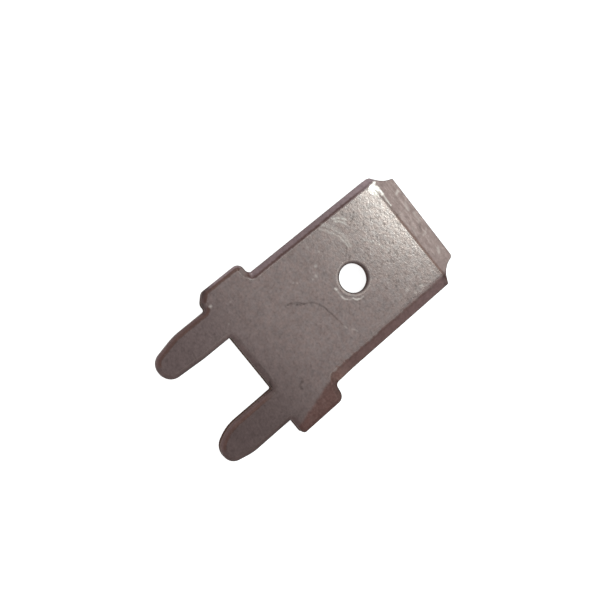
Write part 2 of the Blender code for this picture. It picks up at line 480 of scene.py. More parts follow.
@dataclass(frozen=True)
class PressWork:
    """How the press shaped the two faces. Heights are measured down from a flat face.

    Attributes:
        plan: The terminal's plan.
        thickness: The strip's thickness.
        settle: How far the front lies below it, which leaves room for the burr and the waves.
        bevel_depth, bevel_length: The bevel of the tip, on each face.
        bevel_slant: How much further up the bevel starts, for each millimetre to the right.
        coin_left, coin_right: The widths of the flats coined along the blade.
        coin_depth: How deep they are at the blade's side.
        coin_turn: The radius on which their crease turns outwards at the blade's root.
        coin_end: How far above the shoulders it starts to turn.
        coin_fade: How far above the shoulders the right flat has its full depth.
        roll_width, roll_depth: The edges that the die rounded.
        break_width, break_depth: The edges that were only sheared.
        mouth_width, mouth_depth: The hole's mouth.
        breakout_width, breakout_depth: How the hole widens towards the back.
        crease_blend, right_blend: Half the length of a crease's bend, and of the right flat's.
        ridge_height, ridge_width, ridge_offset: The burr's bell across the bevel's bend.
        ridge_from, ridge_full, ridge_fades, ridge_to: Where along the bend it starts, is at its
            height, starts to fade and ends.
        wave_height: The strip's waves.
        burnished_share: How much of a wall's height is burnished.
        torn_length: Over how much of the height it then falls back.
        torn_inset, torn_swing: How far the torn part lies in, and how much that varies.
    """

    plan: PlanSizes
    thickness: float
    settle: float = 0.016
    bevel_depth: float = 0.19
    bevel_length: float = 1.05
    bevel_slant: float = 0.018
    coin_left: float = 0.34
    coin_right: float = 0.50
    coin_depth: float = 0.14
    coin_turn: float = 0.25
    coin_end: float = 0.15
    coin_fade: float = 1.30
    roll_width: float = 0.24
    roll_depth: float = 0.11
    break_width: float = 0.03
    break_depth: float = 0.02
    mouth_width: float = 0.14
    mouth_depth: float = 0.05
    breakout_width: float = 0.18
    breakout_depth: float = 0.53
    crease_blend: float = 0.030
    right_blend: float = 0.110
    ridge_height: float = 0.012
    ridge_width: float = 0.045
    ridge_offset: float = 0.04
    ridge_from: float = -2.95
    ridge_full: float = -2.65
    ridge_fades: float = -2.25
    ridge_to: float = -1.25
    wave_height: float = 0.004
    burnished_share: float = 0.42
    torn_length: float = 0.12
    torn_inset: float = 0.012
    torn_swing: float = 0.005

    def bevel_start(self, x: np.ndarray) -> np.ndarray:
        """Where the tip's bevel starts: a line that leans a little across the blade."""
        return self.plan.tip_y - self.bevel_length + self.bevel_slant * x

    def bevel_reach(self, x: np.ndarray, y: np.ndarray) -> np.ndarray:
        """How far past the bevel's start a point is, towards the tip."""
        return y - self.bevel_start(x)

    def bevel_drop(self, x: np.ndarray, y: np.ndarray) -> np.ndarray:
        """The bevel's ramp, as a drop from either face."""
        return self.bevel_depth / self.bevel_length * soft_ramp(self.bevel_reach(x, y), self.crease_blend)

    def coin_width(self, x: np.ndarray) -> np.ndarray:
        """The width of the coined flat on the side that a point is on."""
        return np.where(x < 0, self.coin_left, self.coin_right)

    def coin_reach(self, x: np.ndarray, y: np.ndarray) -> np.ndarray:
        """How far a point is into the flats coined along the blade, below zero outside them.

        Along the blade it is |x| less the crease's place. Past the flat's end the crease turns
        outwards on a quarter circle of radius r, where the reach is r less the distance to the
        circle's centre.

        Args:
            x: Places across the strip.
            y: Places along it.

        Returns:
            The reach.
        """
        crease = self.plan.blade_half - self.coin_width(x)
        end = self.plan.shoulder_y + self.coin_end
        across = np.abs(x) - crease
        turned = self.coin_turn - np.hypot(across - self.coin_turn, y - end)
        return np.where(y > end, across, np.where(across > self.coin_turn,
                        np.minimum(turned, self.coin_turn + y - end), turned))

    def waves(self, x: np.ndarray, y: np.ndarray) -> np.ndarray:
        """The strip's own unevenness, from 0 to 1: a mean of three slow crossing waves."""
        total = (np.sin(1.3 * x + 0.4 * y + 0.7) + np.sin(0.5 * x - 0.9 * y + 2.1)
                 + np.sin(-0.8 * x + 1.7 * y + 4.0))
        return 0.5 + total / 6.0

    def ridge(self, x: np.ndarray, y: np.ndarray) -> np.ndarray:
        """The burr that the bevel's punch raised near the left corner, as a height.

        Across the bend it is a bell, and along the bend it swells and dies away.
        """
        along = smooth_step(x, self.ridge_from, self.ridge_full)
        along = along * smooth_step(x, self.ridge_to, self.ridge_fades)
        across = swell(self.bevel_reach(x, y), self.ridge_offset, self.ridge_width)
        return self.ridge_height * along * across

    def front_drop(self, x: np.ndarray, y: np.ndarray, survey: Survey) -> np.ndarray:
        """How far the front face lies below the strip's full thickness.

        The tip's bevel and the coined flats are ramps. A rolled edge is a quarter ellipse, depth
        (1 - sqrt(1 - (1 - d / width)^2)) at a distance d from the outline, and so is the hole's
        mouth. The deepest of them counts, and the strip's waves are added.

        Args:
            x: Places across the strip.
            y: Places along it.
            survey: What the points are to the outline.

        Returns:
            The drop at each point.
        """
        plan = self.plan
        blend = np.where(x < 0, self.crease_blend, self.right_blend)
        coin = self.coin_depth / self.coin_width(x) * soft_ramp(self.coin_reach(x, y), blend)
        fade = smooth_step(y, plan.shoulder_y, plan.shoulder_y + self.coin_fade)
        coin = np.where(x < 0, coin, coin * fade)
        rolled, sheared = (survey.kinds[:, kind.value] for kind in (EdgeKind.ROLLED, EdgeKind.SHEARED))
        roll = rolled * self.roll_depth * quarter(survey.distance, self.roll_width)
        chip = sheared * self.break_depth * quarter(survey.distance, self.break_width)
        from_hole = np.hypot(x, y - plan.hole_y) - plan.hole_radius
        mouth = self.mouth_depth * quarter(from_hole, self.mouth_width)
        level = self.settle - self.wave_height * self.waves(x, y) - self.ridge(x, y)
        return level + np.maximum(np.maximum(coin, roll), np.maximum(mouth, chip)) + self.bevel_drop(x, y)

    def back_lift(self, x: np.ndarray, y: np.ndarray, survey: Survey) -> np.ndarray:
        """How far the back face lies above the surface that the terminal rests on.

        It has the front's bevel, the left flat on both sides, and nearly sharp edges.

        Args:
            x: Places across the strip.
            y: Places along it.
            survey: What the points are to the outline.

        Returns:
            The lift at each point.
        """
        reach = self.coin_reach(-np.abs(x), y)
        coin = self.coin_depth / self.coin_left * soft_ramp(reach, self.crease_blend)
        chip = self.break_depth * quarter(survey.distance, self.break_width)
        return np.maximum(coin, chip) + self.bevel_drop(x, y)

    def wall_inset(self, depth: float, along: np.ndarray) -> np.ndarray:
        """How far a sheared wall lies in from the outline at a depth, 0 at the front and 1 at the back.

        The upper part is burnished straight. Below it the metal tore, so the wall falls back and
        is rough: a slope plus crossing sines along the wall, which fade out at both rims.

        Args:
            depth: The depth as a share of the wall's height.
            along: Places along the outline.

        Returns:
            The inset at each place, never below zero.
        """
        torn_from = self.burnished_share + 0.05 * np.sin(2.1 * along) + 0.04 * np.sin(5.3 * along + 1.0)
        torn = smooth_step(depth - torn_from, 0.0, self.torn_length) * smooth_step(depth, 1.0, 0.93)
        rough = (np.sin(31.0 * along + 9.0 * depth) + np.sin(47.0 * along - 23.0 * depth)
                 + np.sin(83.0 * along + 41.0 * depth)) / 3.0
        return torn * (self.torn_inset + self.torn_swing * rough)


def quarter(distance: np.ndarray, width: float) -> np.ndarray:
    """A rounded edge's drop as a share of its depth: 1 - sqrt(1 - (1 - d / width)^2), then 0."""
    share = np.clip(1.0 - distance / width, 0.0, 1.0)
    return 1.0 - np.sqrt(1.0 - share**2)


@dataclass(frozen=True)
class Fineness:
    """How finely the terminal's surfaces are divided.

    Attributes:
        front, back: The spacing of each face's lattice.
        edge: The longest piece of a rim or a crease.
        ring_gaps: How far in from a rim each ring of points lies.
        ring_slack: How much nearer to another part of the rim a ring's point may come.
        crease_gap: How far other points stay from the rows along a crease, and these from the rim.
        wall_steps: How many rows of faces a wall has.
        hole_steps: How many points go round the hole.
        joined: How near two points are to count as one.
    """

    front: float = 0.050
    back: float = 0.095
    edge: float = 0.050
    ring_gaps: tuple[float, ...] = (0.006, 0.020, 0.042, 0.072, 0.108, 0.150, 0.195, 0.240)
    ring_slack: float = 0.002
    crease_gap: float = 0.012
    wall_steps: int = 9
    hole_steps: int = 112
    joined: float = 1e-7


@dataclass(frozen=True)
class Face:
    """One face's net in plan: its points, its triangles, and where its rims are among the points."""

    points: np.ndarray
    triangles: np.ndarray
    rim: np.ndarray
    hole_rim: np.ndarray


@dataclass
class StampedTerminal:
    """The stamped terminal, built as one closed surface.

    Attributes:
        plan: Its plan.
        press: Its press work.
        outline: The plan's outline.
        fineness: How finely it is divided.
    """

    plan: PlanSizes
    press: PressWork
    outline: Outline
    fineness: Fineness = field(default_factory=Fineness)

    def hole_ring(self, radius: float) -> np.ndarray:
        """Points round the hole's axis at a radius: the centre plus r (cos a, sin a)."""
        angle = np.linspace(0.0, 2 * np.pi, self.fineness.hole_steps, endpoint=False)
        circle = np.column_stack([np.cos(angle), np.sin(angle)])
        return np.array([0.0, self.plan.hole_y]) + radius * circle

    def crease_lines(self) -> list[np.ndarray]:
        """Rows of points along the bevel's start and the coined flats, one each side of the bend."""
        plan, press, step = self.plan, self.press, self.fineness.edge
        rows = []
        for offset in (-press.crease_blend, 0.0, press.crease_blend):
            x = np.arange(-plan.blade_half, plan.blade_half, step)
            rows.append(np.column_stack([x, press.bevel_start(x) + offset]))
            y = np.arange(plan.shoulder_y + press.coin_end, plan.tip_y, step)
            for width, side in ((press.coin_left, -1), (press.coin_right, 1)):
                x = np.full(len(y), side * (plan.blade_half - width + offset))
                rows.append(np.column_stack([x, y]))
        return rows

    def lattice(self, step: float, hole_radius: float) -> np.ndarray:
        """An even lattice of equal triangles within the outline, clear of the rings along its rims.

        A point is (i s, j s sqrt(3) / 2), and every other row is moved by half a step.

        Args:
            step: The lattice's spacing s.
            hole_radius: The hole's radius in this face.

        Returns:
            The lattice's points.
        """
        low, high = self.outline.corners.min(axis=0), self.outline.corners.max(axis=0)
        rows = np.arange(low[1], high[1], step * math.sqrt(3) / 2)
        columns = np.arange(low[0], high[0], step)
        x, y = np.meshgrid(columns, rows)
        x[1::2] += step / 2
        points = np.column_stack([x.ravel(), y.ravel()])
        survey = self.outline.survey(points)
        beyond = self.fineness.ring_gaps[-1] + step / 2
        from_hole = np.hypot(points[:, 0], points[:, 1] - self.plan.hole_y) - hole_radius
        return points[survey.inside & (survey.distance > beyond) & (from_hole > beyond)]

    def net(self, step: float, hole_radius: float) -> Face:
        """A face's net in plan.

        It joins the outline, rings set in from it, rings round the hole, rows along the creases and
        an even lattice.

        Args:
            step: The lattice's spacing.
            hole_radius: The hole's radius in this face.

        Returns:
            The net, with its rims.
        """
        plan, press, fine = self.plan, self.press, self.fineness
        rim, inward = self.outline.densified(fine.edge)
        rings = np.vstack([rim + inward * gap for gap in fine.ring_gaps])
        own_gap = np.repeat(fine.ring_gaps, len(rim))
        rings = rings[self.outline.survey(rings).distance > own_gap - fine.ring_slack]
        hole_rim = self.hole_ring(hole_radius)
        mouth = np.vstack([self.hole_ring(hole_radius + gap) for gap in fine.ring_gaps])
        creases = np.vstack(self.crease_lines())
        survey = self.outline.survey(creases)
        creases = creases[survey.inside & (survey.distance > fine.crease_gap)]
        loose = np.vstack([rings, mouth, self.lattice(step, hole_radius)])
        clear = np.minimum(np.abs(press.bevel_reach(loose[:, 0], loose[:, 1])),
                           np.abs(press.coin_reach(loose[:, 0], loose[:, 1])))
        on_blade = loose[:, 1] > plan.shoulder_y + press.coin_end
        loose = loose[~on_blade | (clear > press.crease_blend + fine.crease_gap)]

        points = np.vstack([rim, hole_rim, loose, creases])
        loops = [(start + np.arange(count), start + (np.arange(count) + 1) % count)
                 for start, count in ((0, len(rim)), (len(rim), len(hole_rim)))]
        edges = np.vstack([np.column_stack(pair) for pair in loops])
        made, _, faces, origin, _, _ = delaunay_2d_cdt(
            [Vector(point) for point in points.tolist()], edges.tolist(), [], WITHIN_EDGES, fine.joined)
        made, faces = np.array([tuple(point) for point in made]), np.array(faces)
        where = np.full(len(points), -1)
        where[[old for olds in origin for old in olds]] = [
            new for new, olds in enumerate(origin) for _ in olds]
        middle = made[faces].mean(axis=1)
        over_hole = np.hypot(middle[:, 0], middle[:, 1] - plan.hole_y) < hole_radius
        rims = where[:len(rim)], where[len(rim):len(rim) + len(hole_rim)]
        return used_only(made, faces[~over_hole], rims)

    def build(self) -> bpy.types.Object:
        """Builds the closed surface and dresses it.

        Returns:
            The terminal's object, at the origin, with its place in its mesh.
        """
        plan, press = self.plan, self.press
        front = self.net(self.fineness.front, plan.hole_radius)
        back = self.net(self.fineness.back, plan.hole_radius + press.breakout_width)
        front_survey, back_survey = self.outline.survey(front.points), self.outline.survey(back.points)
        top = press.thickness - press.front_drop(*front.points.T, front_survey)
        bottom = press.back_lift(*back.points.T, back_survey)

        surface = Surface()
        first_front = surface.add_points(np.column_stack([front.points, top]), front_survey, 0.0)
        first_back = surface.add_points(np.column_stack([back.points, bottom]), back_survey, 1.0)
        surface.add_faces(front.triangles + first_front, FacePart.FRONT)
        surface.add_faces(back.triangles[:, ::-1] + first_back, FacePart.BACK)
        self.add_wall(surface, front.rim + first_front, back.rim + first_back, 0.0)
        bore = 1.0 - press.breakout_depth / (press.thickness - press.settle - press.mouth_depth)
        self.add_wall(surface, front.hole_rim + first_front, back.hole_rim + first_back, bore)
        return surface.to_object("stamped_terminal", plan, press)

    def add_wall(self, surface: "Surface", top: np.ndarray, bottom: np.ndarray, straight: float) -> None:
        """Carries the sheared profile along a rim, between the two faces.

        A point is P + n w(depth, along), at a height that runs evenly from the upper rim to the
        lower, where n is the inward normal and w the wall's inset. P stays under the upper rim for
        the straight share of the depth and then runs evenly to the lower rim.

        Args:
            surface: The surface to add to.
            top: The upper rim's points, in order.
            bottom: The lower rim's points, in order.
            straight: The share of the depth over which the wall goes straight down.
        """
        points = surface.points()
        upper, lower = points[top], points[bottom]
        run = np.roll(upper[:, :2], -1, axis=0) - np.roll(upper[:, :2], 1, axis=0)
        run /= np.linalg.norm(run, axis=1)[:, None]
        inward = np.column_stack([run[:, 1], -run[:, 0]])
        piece = np.linalg.norm(np.roll(upper[:, :2], -1, axis=0) - upper[:, :2], axis=1)
        along = np.cumsum(piece) - piece
        rings = [top]
        for depth in np.linspace(0.0, 1.0, self.fineness.wall_steps + 1)[1:-1]:
            inset = self.press.wall_inset(depth, along)[:, None]
            place = upper * (1 - depth) + lower * depth
            spread = max(0.0, depth - straight) / (1 - straight)
            place[:, :2] = upper[:, :2] * (1 - spread) + lower[:, :2] * spread + inward * inset
            first = surface.add_points(place, self.outline.survey(place[:, :2]), depth)
            rings.append(np.arange(first, first + len(top)))
        rings.append(bottom)
        for ring, after in zip(rings, rings[1:]):
            quads = np.column_stack([ring, np.roll(ring, -1), np.roll(after, -1), after])
            surface.add_faces(quads, FacePart.WALL)


def used_only(points: np.ndarray, triangles: np.ndarray, rims: tuple[np.ndarray, np.ndarray]) -> Face:
    """A face without the points that no triangle uses, its triangles turned to look up.

    Args:
        points: Points in plan.
        triangles: Triangles on them, turned either way.
        rims: The places of the two rims among the points.

    Returns:
        The face.
    """
    a, b, c = (points[triangles[:, corner]] for corner in range(3))
    twice_area = (b[:, 0] - a[:, 0]) * (c[:, 1] - a[:, 1]) - (b[:, 1] - a[:, 1]) * (c[:, 0] - a[:, 0])
    triangles = np.where((twice_area < 0)[:, None], triangles[:, ::-1], triangles)
    used = np.unique(triangles)
    place = np.full(len(points), -1)
    place[used] = np.arange(len(used))
    return Face(points[used], place[triangles], place[rims[0]], place[rims[1]])


class FacePart(Enum):
    """The parts of the terminal's skin, in the order of its materials."""

    FRONT = 0
    BACK = 1
    WALL = 2


class Surface:
    """Points, faces and surveys gathered into one mesh."""

    def __init__(self) -> None:
        """Starts with nothing."""
        self._points: list[np.ndarray] = []
        self._distance: list[np.ndarray] = []
        self._rolled: list[np.ndarray] = []
        self._facing: list[np.ndarray] = []
        self._depth: list[np.ndarray] = []
        self._faces: list[tuple[np.ndarray, FacePart]] = []
        self._count = 0

    def points(self) -> np.ndarray:
        """All points so far, in millimetres."""
        return np.vstack(self._points)

    def add_points(self, points: np.ndarray, survey: Survey, depth: float) -> int:
        """Adds points.

        Args:
            points: Places in millimetres.
            survey: What they are to the outline.
            depth: 0 on the front face, 1 on the back, and between on a wall.

        Returns:
            The number of the first one.
        """
        first = self._count
        self._points.append(points)
        self._distance.append(survey.distance)
        self._rolled.append(survey.kinds[:, EdgeKind.ROLLED.value])
        self._facing.append(survey.facing)
        self._depth.append(np.full(len(points), depth))
        self._count += len(points)
        return first

    def add_faces(self, faces: np.ndarray, part: FacePart) -> None:
        """Adds faces of one size that belong to one part of the skin."""
        self._faces.append((faces, part))

    def to_object(self, name: str, plan: PlanSizes, press: PressWork) -> bpy.types.Object:
        """Makes the mesh and its object.

        Args:
            name: The object's name.
            plan: The terminal's plan.
            press: The press work.

        Returns:
            The object, linked to the scene.
        """
        points = self.points()
        mesh = bpy.data.meshes.new(name)
        faces = [face for group, _ in self._faces for face in group.tolist()]
        mesh.from_pydata((points * MM).tolist(), [], faces)
        parts = np.concatenate([np.full(len(group), part.value) for group, part in self._faces])
        mesh.polygons.foreach_set("material_index", parts.astype(np.int32))
        mesh.update()
        x, y = points[:, 0], points[:, 1]
        values = {
            "edge_distance": np.concatenate(self._distance),
            "rolled": np.concatenate(self._rolled),
            "facing": np.concatenate(self._facing),
            "wall_depth": np.concatenate(self._depth),
            "hole_distance": np.hypot(x, y - plan.hole_y) - plan.hole_radius,
            "coin_reach": press.coin_reach(x, y),
        }
        for label, column in values.items():
            attribute = mesh.attributes.new(label, "FLOAT", "POINT")
            column = np.clip(column, -CARRIED_BOUND, CARRIED_BOUND)
            attribute.data.foreach_set("value", column.astype(np.float32))
        mesh.shade_smooth()
        mesh.set_sharp_from_angle(angle=SHARP_ANGLE)
        item = bpy.data.objects.new(name, mesh)
        bpy.context.scene.collection.objects.link(item)
        return item


# Finishes

Socket = bpy.types.NodeSocket
Colour = tuple[float, float, float]


class NodeSheet:
    """A node tree with short calls for the nodes that the finishes are made of."""

    def __init__(self, tree: bpy.types.NodeTree) -> None:
        """Takes the tree to fill."""
        self.tree = tree

    def add(self, kind: str, **settings: object) -> bpy.types.Node:
        """Adds a node and sets its properties."""
        node = self.tree.nodes.new(kind)
        for name, value in settings.items():
            setattr(node, name, value)
        return node

    def feed(self, target: Socket, source: object) -> None:
        """Links a socket to a source, or sets it where the source is a plain value."""
        if isinstance(source, bpy.types.NodeSocket):
            self.tree.links.new(source, target)
        elif isinstance(source, tuple) and len(source) == 3 and target.type == "RGBA":
            target.default_value = (*source, 1.0)
        else:
            target.default_value = source

    def value(self, operation: str, *sources: object, clamp: bool = False) -> Socket:
        """A Math node."""
        node = self.add("ShaderNodeMath", operation=operation, use_clamp=clamp)
        for target, source in zip(node.inputs, sources):
            self.feed(target, source)
        return node.outputs[0]

    def vector(self, operation: str, *sources: object) -> Socket:
        """A Vector Math node's result: a value for a product or a distance, or else a vector."""
        node = self.add("ShaderNodeVectorMath", operation=operation)
        targets = [item for item in node.inputs if item.enabled]
        for target, source in zip(targets, sources):
            self.feed(target, source)
        return node.outputs["Value" if operation in ("DOT_PRODUCT", "DISTANCE") else "Vector"]

    def span(self, source: object, low: float, high: float, at_low: float = 0.0, at_high: float = 1.0,
             smooth: bool = True) -> Socket:
        """The source moved from the span low to high onto at_low to at_high, and kept within it."""
        node = self.add("ShaderNodeMapRange", clamp=True,
                        interpolation_type="SMOOTHSTEP" if smooth else "LINEAR")
        for name, item in (("Value", source), ("From Min", low), ("From Max", high),
                           ("To Min", at_low), ("To Max", at_high)):
            self.feed(node.inputs[name], item)
        return node.outputs["Result"]

    def mixed(self, kind: str, share: object, first: object, second: object,
              **settings: object) -> Socket:
        """A Mix node for one kind of data."""
        node = self.add("ShaderNodeMix", data_type=kind, clamp_factor=True, **settings)
        first_input, second_input, output = MIX_SOCKETS[kind]
        for place, source in ((0, share), (first_input, first), (second_input, second)):
            self.feed(node.inputs[place], source)
        return node.outputs[output]

    def mix(self, share: object, first: object, second: object, blend: str = "MIX") -> Socket:
        """A colour mix."""
        return self.mixed("RGBA", share, first, second, blend_type=blend)

    def blend(self, share: object, first: object, second: object) -> Socket:
        """A mix of two values."""
        return self.mixed("FLOAT", share, first, second)

    def noise(self, position: Socket, scale: object, detail: float = 2.0, roughness: float = 0.5,
              distortion: float = 0.0) -> Socket:
        """A Noise texture's value, from 0 to 1 about a half."""
        node = self.add("ShaderNodeTexNoise", noise_dimensions="3D")
        for name, item in (("Vector", position), ("Scale", scale), ("Detail", detail),
                           ("Roughness", roughness), ("Distortion", distortion)):
            self.feed(node.inputs[name], item)
        return node.outputs[0]

    def attribute(self, name: str) -> Socket:
        """A value that the mesh carries."""
        node = self.add("ShaderNodeAttribute", attribute_name=name, attribute_type="GEOMETRY")
        return node.outputs["Fac"]

    def tone_colour(self, tone: Socket) -> Socket:
        """A grey of this tone, to multiply a colour by."""
        node = self.add("ShaderNodeCombineColor")
        for target in node.inputs[:3]:
            self.feed(target, tone)
        return node.outputs[0]

    def place(self) -> Socket:
        """The place on the piece, in millimetres."""
        coordinates = self.add("ShaderNodeTexCoord").outputs["Object"]
        return self.vector("SCALE", coordinates, 1.0 / MM)

    def group(self, tree: bpy.types.NodeTree, **sources: object) -> bpy.types.NodeOutputs:
        """Places a node group and feeds its inputs. An input's blank is written as an underscore."""
        node = self.add("ShaderNodeGroup", node_tree=tree)
        for name, source in sources.items():
            self.feed(node.inputs[name.replace("_", " ")], source)
        return node.outputs


def new_group(name: str, inputs: dict[str, str], outputs: dict[str, str]
              ) -> tuple[NodeSheet, bpy.types.NodeOutputs, bpy.types.NodeInputs]:
    """Starts a node group.

    Args:
        name: The group's name.
        inputs: Its inputs, from their names to Float, Vector or Color.
        outputs: Its outputs, in the same way.

    Returns:
        The sheet to fill, the sockets to read and the sockets to feed.
    """
    tree = bpy.data.node_groups.new(name, "ShaderNodeTree")
    for label, kind in inputs.items():
        tree.interface.new_socket(label, in_out="INPUT", socket_type=f"NodeSocket{kind}")
    for label, kind in outputs.items():
        tree.interface.new_socket(label, in_out="OUTPUT", socket_type=f"NodeSocket{kind}")
    source = tree.nodes.new("NodeGroupInput").outputs
    target = tree.nodes.new("NodeGroupOutput").inputs
    return NodeSheet(tree), source, target


def make_tin_grain() -> bpy.types.NodeTree:
    """The plating's crystals: small grains that differ in tone, tint and height.

    Tone runs about 1 by the strength, Tint and Height from 0 to 1, and Pits is 1 in scattered dark
    pits.
    """
    sheet, source, target = new_group(
        "tin_grain", {"Place": "Vector", "Fineness": "Float", "Strength": "Float"},
        {"Tone": "Float", "Tint": "Float", "Height": "Float", "Pits": "Float"})
    grain = sheet.noise(source["Place"], source["Fineness"], 2.0, 0.6)
    patch = sheet.noise(source["Place"], sheet.value("MULTIPLY", source["Fineness"], 0.33), 2.0, 0.6)
    both = sheet.blend(0.45, grain, patch)
    swing = sheet.value("MULTIPLY", sheet.value("SUBTRACT", both, 0.5), source["Strength"])
    sheet.feed(target["Tone"], sheet.value("ADD", swing, 1.0))
    shifted = sheet.vector("ADD", source["Place"], (7.3, 2.1, 5.7))
    tint = sheet.noise(shifted, sheet.value("MULTIPLY", source["Fineness"], 0.5), 1.0, 0.5)
    sheet.feed(target["Tint"], sheet.span(tint, 0.25, 0.75))
    sheet.feed(target["Height"], both)
    pits = sheet.noise(shifted, sheet.value("MULTIPLY", source["Fineness"], 0.75), 2.0, 0.6)
    sheet.feed(target["Pits"], sheet.span(pits, 0.53, 0.70))
    return sheet.tree


def make_mark() -> bpy.types.NodeTree:
    """One bowed mark. Its mask is 1 on the line A + t(B - A) + 4t(1 - t) bow and fades over its width."""
    sheet, source, target = new_group(
        "mark", {"Place": "Vector", "Start": "Vector", "End": "Vector", "Bow": "Vector", "Width": "Float",
                 "Strength": "Float"}, {"Mask": "Float"})
    run = sheet.vector("SUBTRACT", source["End"], source["Start"])
    offset = sheet.vector("SUBTRACT", source["Place"], source["Start"])
    squared = sheet.vector("DOT_PRODUCT", run, run)
    share = sheet.value("DIVIDE", sheet.vector("DOT_PRODUCT", offset, run), squared, clamp=True)
    fall = sheet.value("SUBTRACT", 4.0, sheet.value("MULTIPLY", share, 4.0))
    rise = sheet.value("MULTIPLY", share, fall)
    bowed = sheet.vector("ADD", sheet.vector("SCALE", source["Bow"], rise), source["Start"])
    line = sheet.vector("ADD", sheet.vector("SCALE", run, share), bowed)
    gap = sheet.vector("DISTANCE", source["Place"], line)
    near = sheet.value("SUBTRACT", 1.0, sheet.value("DIVIDE", gap, source["Width"]), clamp=True)
    sheet.feed(target["Mask"], sheet.value("MULTIPLY", near, source["Strength"]))
    return sheet.tree


def make_ragged_line() -> bpy.types.NodeTree:
    """A ragged line where a reach is zero, for creases and rims, broken into patches.

    A noise shakes the line by the raggedness, and a slower one leaves parts of it out: the more, the
    smaller the cover is.
    """
    sheet, source, target = new_group(
        "ragged_line", {"Place": "Vector", "Reach": "Float", "Width": "Float", "Raggedness": "Float",
                        "Cover": "Float"}, {"Mask": "Float"})
    shake = sheet.value("SUBTRACT", sheet.noise(source["Place"], 7.0, 3.0, 0.65), 0.5)
    moved = sheet.value("ADD", source["Reach"], sheet.value("MULTIPLY", shake, source["Raggedness"]))
    widths_off = sheet.value("DIVIDE", sheet.value("ABSOLUTE", moved), source["Width"])
    line = sheet.value("POWER", sheet.value("SUBTRACT", 1.0, widths_off, clamp=True), 0.7)
    patch = sheet.noise(source["Place"], 2.6, 2.0, 0.6)
    edge = sheet.value("SUBTRACT", 1.0, source["Cover"])
    shown = sheet.span(patch, sheet.value("SUBTRACT", edge, 0.06), sheet.value("ADD", edge, 0.06))
    sheet.feed(target["Mask"], sheet.value("MULTIPLY", line, shown))
    return sheet.tree


def make_zone() -> bpy.types.NodeTree:
    """A zone past a reach of zero, with a soft and uneven border."""
    sheet, source, target = new_group(
        "zone", {"Place": "Vector", "Reach": "Float", "Softness": "Float", "Raggedness": "Float"},
        {"Mask": "Float"})
    shake = sheet.value("SUBTRACT", sheet.noise(source["Place"], 3.2, 3.0, 0.6), 0.5)
    moved = sheet.value("ADD", source["Reach"], sheet.value("MULTIPLY", shake, source["Raggedness"]))
    low = sheet.value("MULTIPLY", source["Softness"], -1.0)
    sheet.feed(target["Mask"], sheet.span(moved, low, source["Softness"]))
    return sheet.tree


@dataclass(frozen=True)
class Mark:
    """A scratch, streak or spot on the front face, or a painted highlight or shade there, in plan.

    Attributes:
        start: One end.
        end: The other end, the same place for a spot.
        bow: How far the middle lies off the straight line.
        width: Half its width, where it has faded out.
        strength: Above 0 for bright metal laid bare or a painted highlight, below 0 for dirt or painted
            shade, 1 for the full colour.
    """

    start: tuple[float, float]
    end: tuple[float, float]
    bow: tuple[float, float]
    width: float
    strength: float


def spot(x: float, y: float, width: float, strength: float) -> Mark:
    """A mark without length."""
    return Mark((x, y), (x, y), (0.0, 0.0), width, strength)


@dataclass(frozen=True)
class TinFinish:
    """Tinned brass as it has weathered, with painted light: the colours of its grey, its tarnish, and the
    painted shade, reflection and highlights on its legs, flats, edges and marks.

    Attributes:
        grey, warm: The two tints of the blade's tin.
        left_leg_shaded, right_leg_shaded: The legs' tin, darkened by painted shade.
        flat_tip, flat_root: The left flat, near the tip and near the shoulder, tarnish with painted
            reflection.
        brown_tip, brown_root: The right flat, in the same way.
        zone: The brown painted shade over the right shoulder.
        crease_shade: The painted shade in a line along a crease that the press left.
        edge: The brown of the rounded edges, a painted shade.
        bevel, streak: The tip's bevel, and the paler streaks on it.
        dark, bright: Dirt, pits and painted shade; metal laid bare and painted highlights.
        burnish, torn: The upper and the lower part of the sheared walls, bare brass darkened partly by
            painted shade.
        grazing: What the walls mirror when they are seen from almost along them.
        roughness, dull, matt: The roughness of the flat tin, of its formed edges and flats, and of
            the shoulders' tops.
        metallic: How much of the look is metal.
        grain: How many grains of the plating there are in a millimetre.
    """

    grey: Colour = (0.146, 0.112, 0.109)
    warm: Colour = (0.152, 0.109, 0.103)
    # The legs' colours carry painted shade, where the light falls off towards them.
    left_leg_shaded: Colour = (0.109, 0.079, 0.077)
    right_leg_shaded: Colour = (0.084, 0.059, 0.057)
    # The flats' colours are tarnish with painted reflection.
    flat_tip: Colour = (0.278, 0.209, 0.219)
    flat_root: Colour = (0.180, 0.129, 0.133)
    brown_tip: Colour = (0.137, 0.087, 0.085)
    brown_root: Colour = (0.104, 0.060, 0.054)
    # The brown of the painted shade over the right shoulder.
    zone: Colour = (0.081, 0.039, 0.034)
    # Painted shade along the creases and where a rounded edge meets the flat.
    crease_shade: Colour = (0.075, 0.040, 0.034)
    # The rounded edges' brown is a painted shade.
    edge: Colour = (0.089, 0.048, 0.042)
    bevel: Colour = (0.152, 0.104, 0.099)
    streak: Colour = (0.310, 0.232, 0.220)
    # Dark and bright serve for dirt and bare metal, and for painted shade and highlights.
    dark: Colour = (0.035, 0.024, 0.022)
    bright: Colour = (1.000, 0.910, 0.850)
    # The walls' browns are bare brass, darkened partly as painted shade.
    burnish: Colour = (0.080, 0.064, 0.054)
    torn: Colour = (0.060, 0.036, 0.031)
    grazing: Colour = (0.520, 0.470, 0.440)
    roughness: float = 0.19
    dull: float = 0.42
    matt: float = 0.62
    metallic: float = 0.92
    grain: float = 9.0


# Marks on the front face, each where the photo shows it

